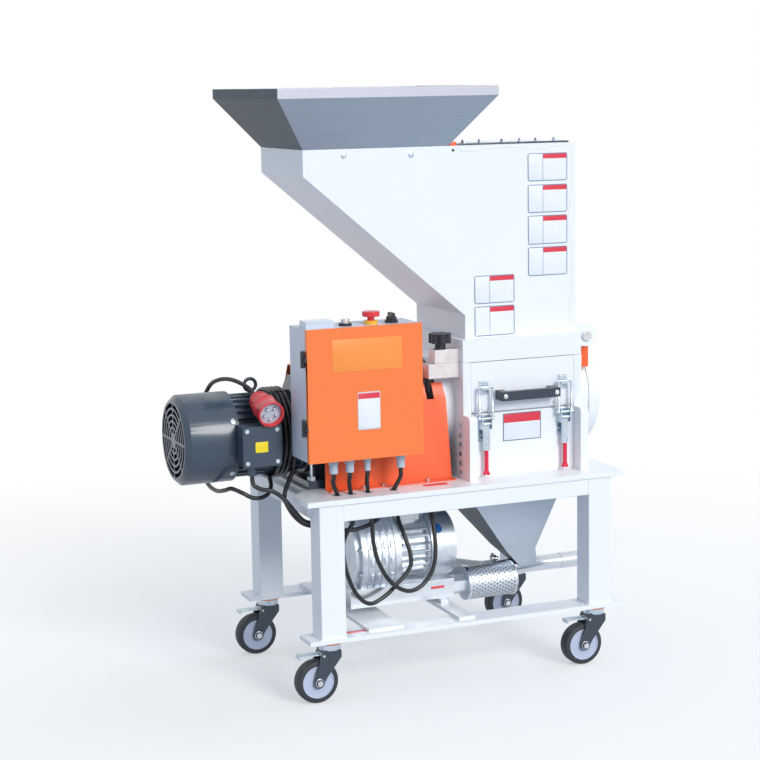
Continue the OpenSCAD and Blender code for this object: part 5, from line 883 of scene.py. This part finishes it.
def wheels():
    """Tread, hub face, axle nuts and dust ring of each caster: profiles turned on the wheel's axle and the swivel."""
    trail, axle_z, ring_z = 35.0, 50.0, 137.0
    half_tread = [(37.5, -15.8), (44.0, -15.9), (47.4, -14.6), (49.2, -11.8), (49.8, -7.0)]
    tread = half_tread + [(49.9, 0.0)] + [(r, -h) for r, h in reversed(half_tread)]
    hub = [(38.2, 10.0), (38.2, 15.2), (36.8, 16.4), (35.2, 16.2), (34.4, 14.6), (20.0, 13.8), (15.5, 14.8),
        (13.0, 16.2), (9.2, 16.2), (9.2, 10.0)]
    dust_ring = [(25.0, -1.8), (27.2, -1.8), (28.0, -0.6), (27.2, 1.0), (25.0, 1.4)]
    for corner, (x, y) in CASTERS.items():
        axle = np.array([x - trail, y, axle_z])
        tyre = add("tyre_" + corner, *turned(tread, axle, REAR, 72, ring=True), "wheel_" + corner, tyre_rubber)
        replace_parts(tyre, "wheel_" + corner)
        discs = [turned([(r, side * h) for r, h in hub], axle, REAR, 64, ring=True) for side in (-1.0, 1.0)]
        faces = add("hub_" + corner, *gathered(discs), "wheel_" + corner, hub_plastic, sharp=30.0)
        mesh = bmesh.new()
        mesh.from_mesh(faces.data)
        bmesh.ops.recalc_face_normals(mesh, faces=mesh.faces)
        mesh.to_mesh(faces.data)
        mesh.free()
        nuts = hex_bolt(axle - [0, 23.5, 0], FRONT, 7.6, 5.0) + hex_bolt(axle + [0, 23.5, 0], REAR, 7.6, 5.0)
        add("axle_nuts_" + corner, *gathered(nuts), "caster_" + corner, bright_steel, sharp=30.0)
        add("dust_ring_" + corner, *turned(dust_ring, (x, y, ring_z), UP, 56, ring=True), "frame", ring_orange)


for make in (labels, hopper_trim, cowl_screws, blower_details, bearing_cap, frame_welds, coil_ties, hose_clamps,
        filter_basket, latch_details, wheels):
    make()


# Finishes on the part's own nodes: the edges' width, the materials, and which material a face takes

for finish in (
    ("lower_rails", 1.2, [white_coat]),
    ("upper_frame", 2.0, [white_coat]),
    ("table_plate", 1.2, [white_coat]),
    ("side_plates", 1.0, [white_coat]),
    ("lower_front_panel", 1.0, [white_coat]),
    ("rear_wall", 1.0, [white_coat]),
    ("bearing_units", 1.2, [white_coat, bright_steel], lambda x, y, z, n: np.hypot(y, z - ROTOR_Z) < 62.5),
    ("hopper_body", 0.8, [white_coat, nickel_block], lambda x, y, z, n: (x < 19.9) & (z < 785.0) & (y < -100.0)),
    ("front_door", 1.0, [white_coat]),
    ("drive_guard", 0.5, [guard_coat]),
    ("control_door", 1.6, [orange_coat, black_plastic], lambda x, y, z, n: x < -396.1),
    ("control_box", 0.6, [box_coat, black_plastic], lambda x, y, z, n: (x < -395.05) | ((y < -237.9) & (x < -394.0))),
    ("hinge_lugs", 0.8, [lug_coat, bright_steel], lambda x, y, z, n: (np.hypot(x - 358.0, z - 785.0) < 12.3)
        & ((np.abs(y) > 140.2) | (np.abs(y) < 99.4))),
    ("clamp_lower_block", 0.8, [nickel_block, dark_iron], lambda x, y, z, n: np.hypot(x + 50.0, y + 126.0) < 9.2),
    # The funnel's faces take a tone by the way they face: left-facing faces painted shade, upright faces turned front,
    # right and rear a painted highlight, the rest the plain steel
    ("feed_funnel", 0.5, [funnel_steel, painted_shade_sheet, funnel_rim_painted_highlight], lambda x, y, z, n: np.where(
        (n[0] < -0.3) & (n[2] < 0.1), 1, np.where((n[1] < -0.9) | (n[0] > 0.9) | (n[1] > 0.9), 2, 0))),
    # The chute's left-facing faces take the dark copy of its steel: painted shade on its left side
    ("discharge_chute", 0.5, [chute_steel, painted_shade_sheet], lambda x, y, z, n: (n[0] < -0.3) & (n[2] < 0.1)),
    ("fan_cowl", 0.6, [motor_coat]),
    ("terminal_box", 1.4, [motor_coat, zinc], lambda x, y, z, n: y < -150.4),
    ("gearbox_housing", 2.0, [motor_coat]),
    ("motor_housing", 0.0, [motor_coat]),
    ("fasteners", 0.5, [zinc]),
    ("door_fittings", 1.2, [handle_plastic, zinc], lambda x, y, z, n: (x < 90.0) | (x > 262.0)),
    ("latch_bases", 0.4, [zinc]),
    ("latch_levers", 0.5, [zinc, grip_vinyl], lambda x, y, z, n: z < 536.5),
    ("latch_bows", 0.0, [zinc]),
    ("star_knob", 0.9, [black_plastic, bright_steel], lambda x, y, z, n: z < 777.0),
    ("stop_button", 2.2, [stop_red]),
    ("start_button", 1.0, [bright_steel]),
    ("selector_switch", 1.0, [black_plastic]),
    ("switchgear", 0.8, [meter_plastic, black_plastic, stop_yellow, dark_iron], lambda x, y, z, n: np.where(
        z < 850.0, 3, np.where(x < -320.0, 0, np.where((x > -245.0) & (x < -205.0), 2, 1)))),
    ("cable_glands", 0.8, [gland_plastic]),
    ("blower_casing", 1.5, [cast_aluminium, silencer_steel], lambda x, y, z, n: (z < 224.0) & (np.abs(y) > 58.0)),
    ("blower_motor", 0.0, [cast_aluminium]),
    ("intake_filter", 0.4, [basket_steel, cast_aluminium], lambda x, y, z, n: x < 48.9),
    ("conveying_pipe", 0.5, [pipe_steel]),
):
    dressed(*finish)
for corner in CASTERS:
    dressed("caster_fork_" + corner, 0.6, [fork_coat])
    dressed("brake_pedal_" + corner, 0.5, [pressed_steel])
for node, material in (("fixed_knives", knife_steel), ("screen", pipe_steel), ("rotor_shaft", dark_iron),
        ("rotor_knives", knife_steel), ("output_gear", dark_iron), ("countershaft", dark_iron),
        ("motor_rotor", dark_iron), ("blower_rotor", cast_aluminium)):
    finish_node(node, material)


# Floor, light and world

def seen_rays(tree):
    """1 for camera, glossy and transmission rays, 0 for the rays that carry light."""
    path = wire(tree, "ShaderNodeLightPath").outputs
    mirrored = sums(tree, "MAXIMUM", path["Is Glossy Ray"], path["Is Transmission Ray"])
    return sums(tree, "MAXIMUM", path["Is Camera Ray"], mirrored)


def floor():
    """A level floor, pale to camera, glossy and transmission rays and white far from the machine; other rays meet
    a darker floor."""
    size, near, far, near_glow = 30.0, 0.6, 2.6, 0.45
    mesh = bpy.data.meshes.new("floor")
    mesh.from_pydata([(-size, -size, 0), (size, -size, 0), (size, size, 0), (-size, size, 0)], [], [(0, 1, 2, 3)])
    material, tree, shader = new_material("pale_floor")
    shader.inputs["Roughness"].default_value = 0.9
    shader.inputs["Specular IOR Level"].default_value = 0.1
    glow = wire(tree, "ShaderNodeEmission", {"Color": (1, 1, 1, 1), "Strength": 1.0})
    seen = seen_rays(tree)
    pale = mixed(tree, seen, (0.40, 0.46, 0.54, 1), (0.93, 0.94, 0.96, 1))
    tree.links.new(pale, shader.inputs["Base Color"])
    spot = wire(tree, "ShaderNodeTexCoord").outputs["Object"]
    away = wire(tree, "ShaderNodeVectorMath", {0: spot}, operation="LENGTH").outputs["Value"]
    share = sums(tree, "MULTIPLY", seen, ramp(tree, away, near, far, near_glow, 1.0))
    blend = wire(tree, "ShaderNodeMixShader", {0: share, 1: shader.outputs[0], 2: glow.outputs[0]})
    tree.links.new(blend.outputs[0], tree.nodes["Material Output"].inputs["Surface"])
    mesh.materials.append(material)
    ground = bpy.data.objects.new("floor", mesh)
    bpy.context.scene.collection.objects.link(ground)


def sun(name, direction, strength, angle, colour):
    """A soft distant lamp shining along a direction."""
    data = bpy.data.lights.new(name, "SUN")
    data.energy = strength
    data.angle = math.radians(angle)
    data.color = colour
    lamp = bpy.data.objects.new(name, data)
    lamp.rotation_mode = "QUATERNION"
    lamp.rotation_quaternion = Vector(direction).to_track_quat("-Z", "Y")
    bpy.context.scene.collection.objects.link(lamp)


def sky():
    """A world that is white to the camera and to gloss, and a cool even light on the object."""
    world = bpy.data.worlds.new("studio")
    bpy.context.scene.world = world
    world.use_nodes = True
    tree = world.node_tree
    even = tree.nodes["Background"]
    even.inputs["Color"].default_value = (0.78, 0.88, 1.0, 1)
    even.inputs["Strength"].default_value = 0.62
    white = wire(tree, "ShaderNodeBackground", {"Color": (1, 1, 1, 1), "Strength": 1.0})
    seen = seen_rays(tree)
    blend = wire(tree, "ShaderNodeMixShader", {0: seen, 1: even.outputs[0], 2: white.outputs[0]})
    tree.links.new(blend.outputs[0], tree.nodes["World Output"].inputs["Surface"])


floor()
sun("key", (-0.22, 0.86, -0.46), 2.0, 24.0, (1.0, 0.985, 0.96))
sun("side", (-0.85, -0.15, -0.5), 0.55, 40.0, (0.92, 0.96, 1.0))
sky()
bpy.context.scene.view_settings.view_transform = "Standard"
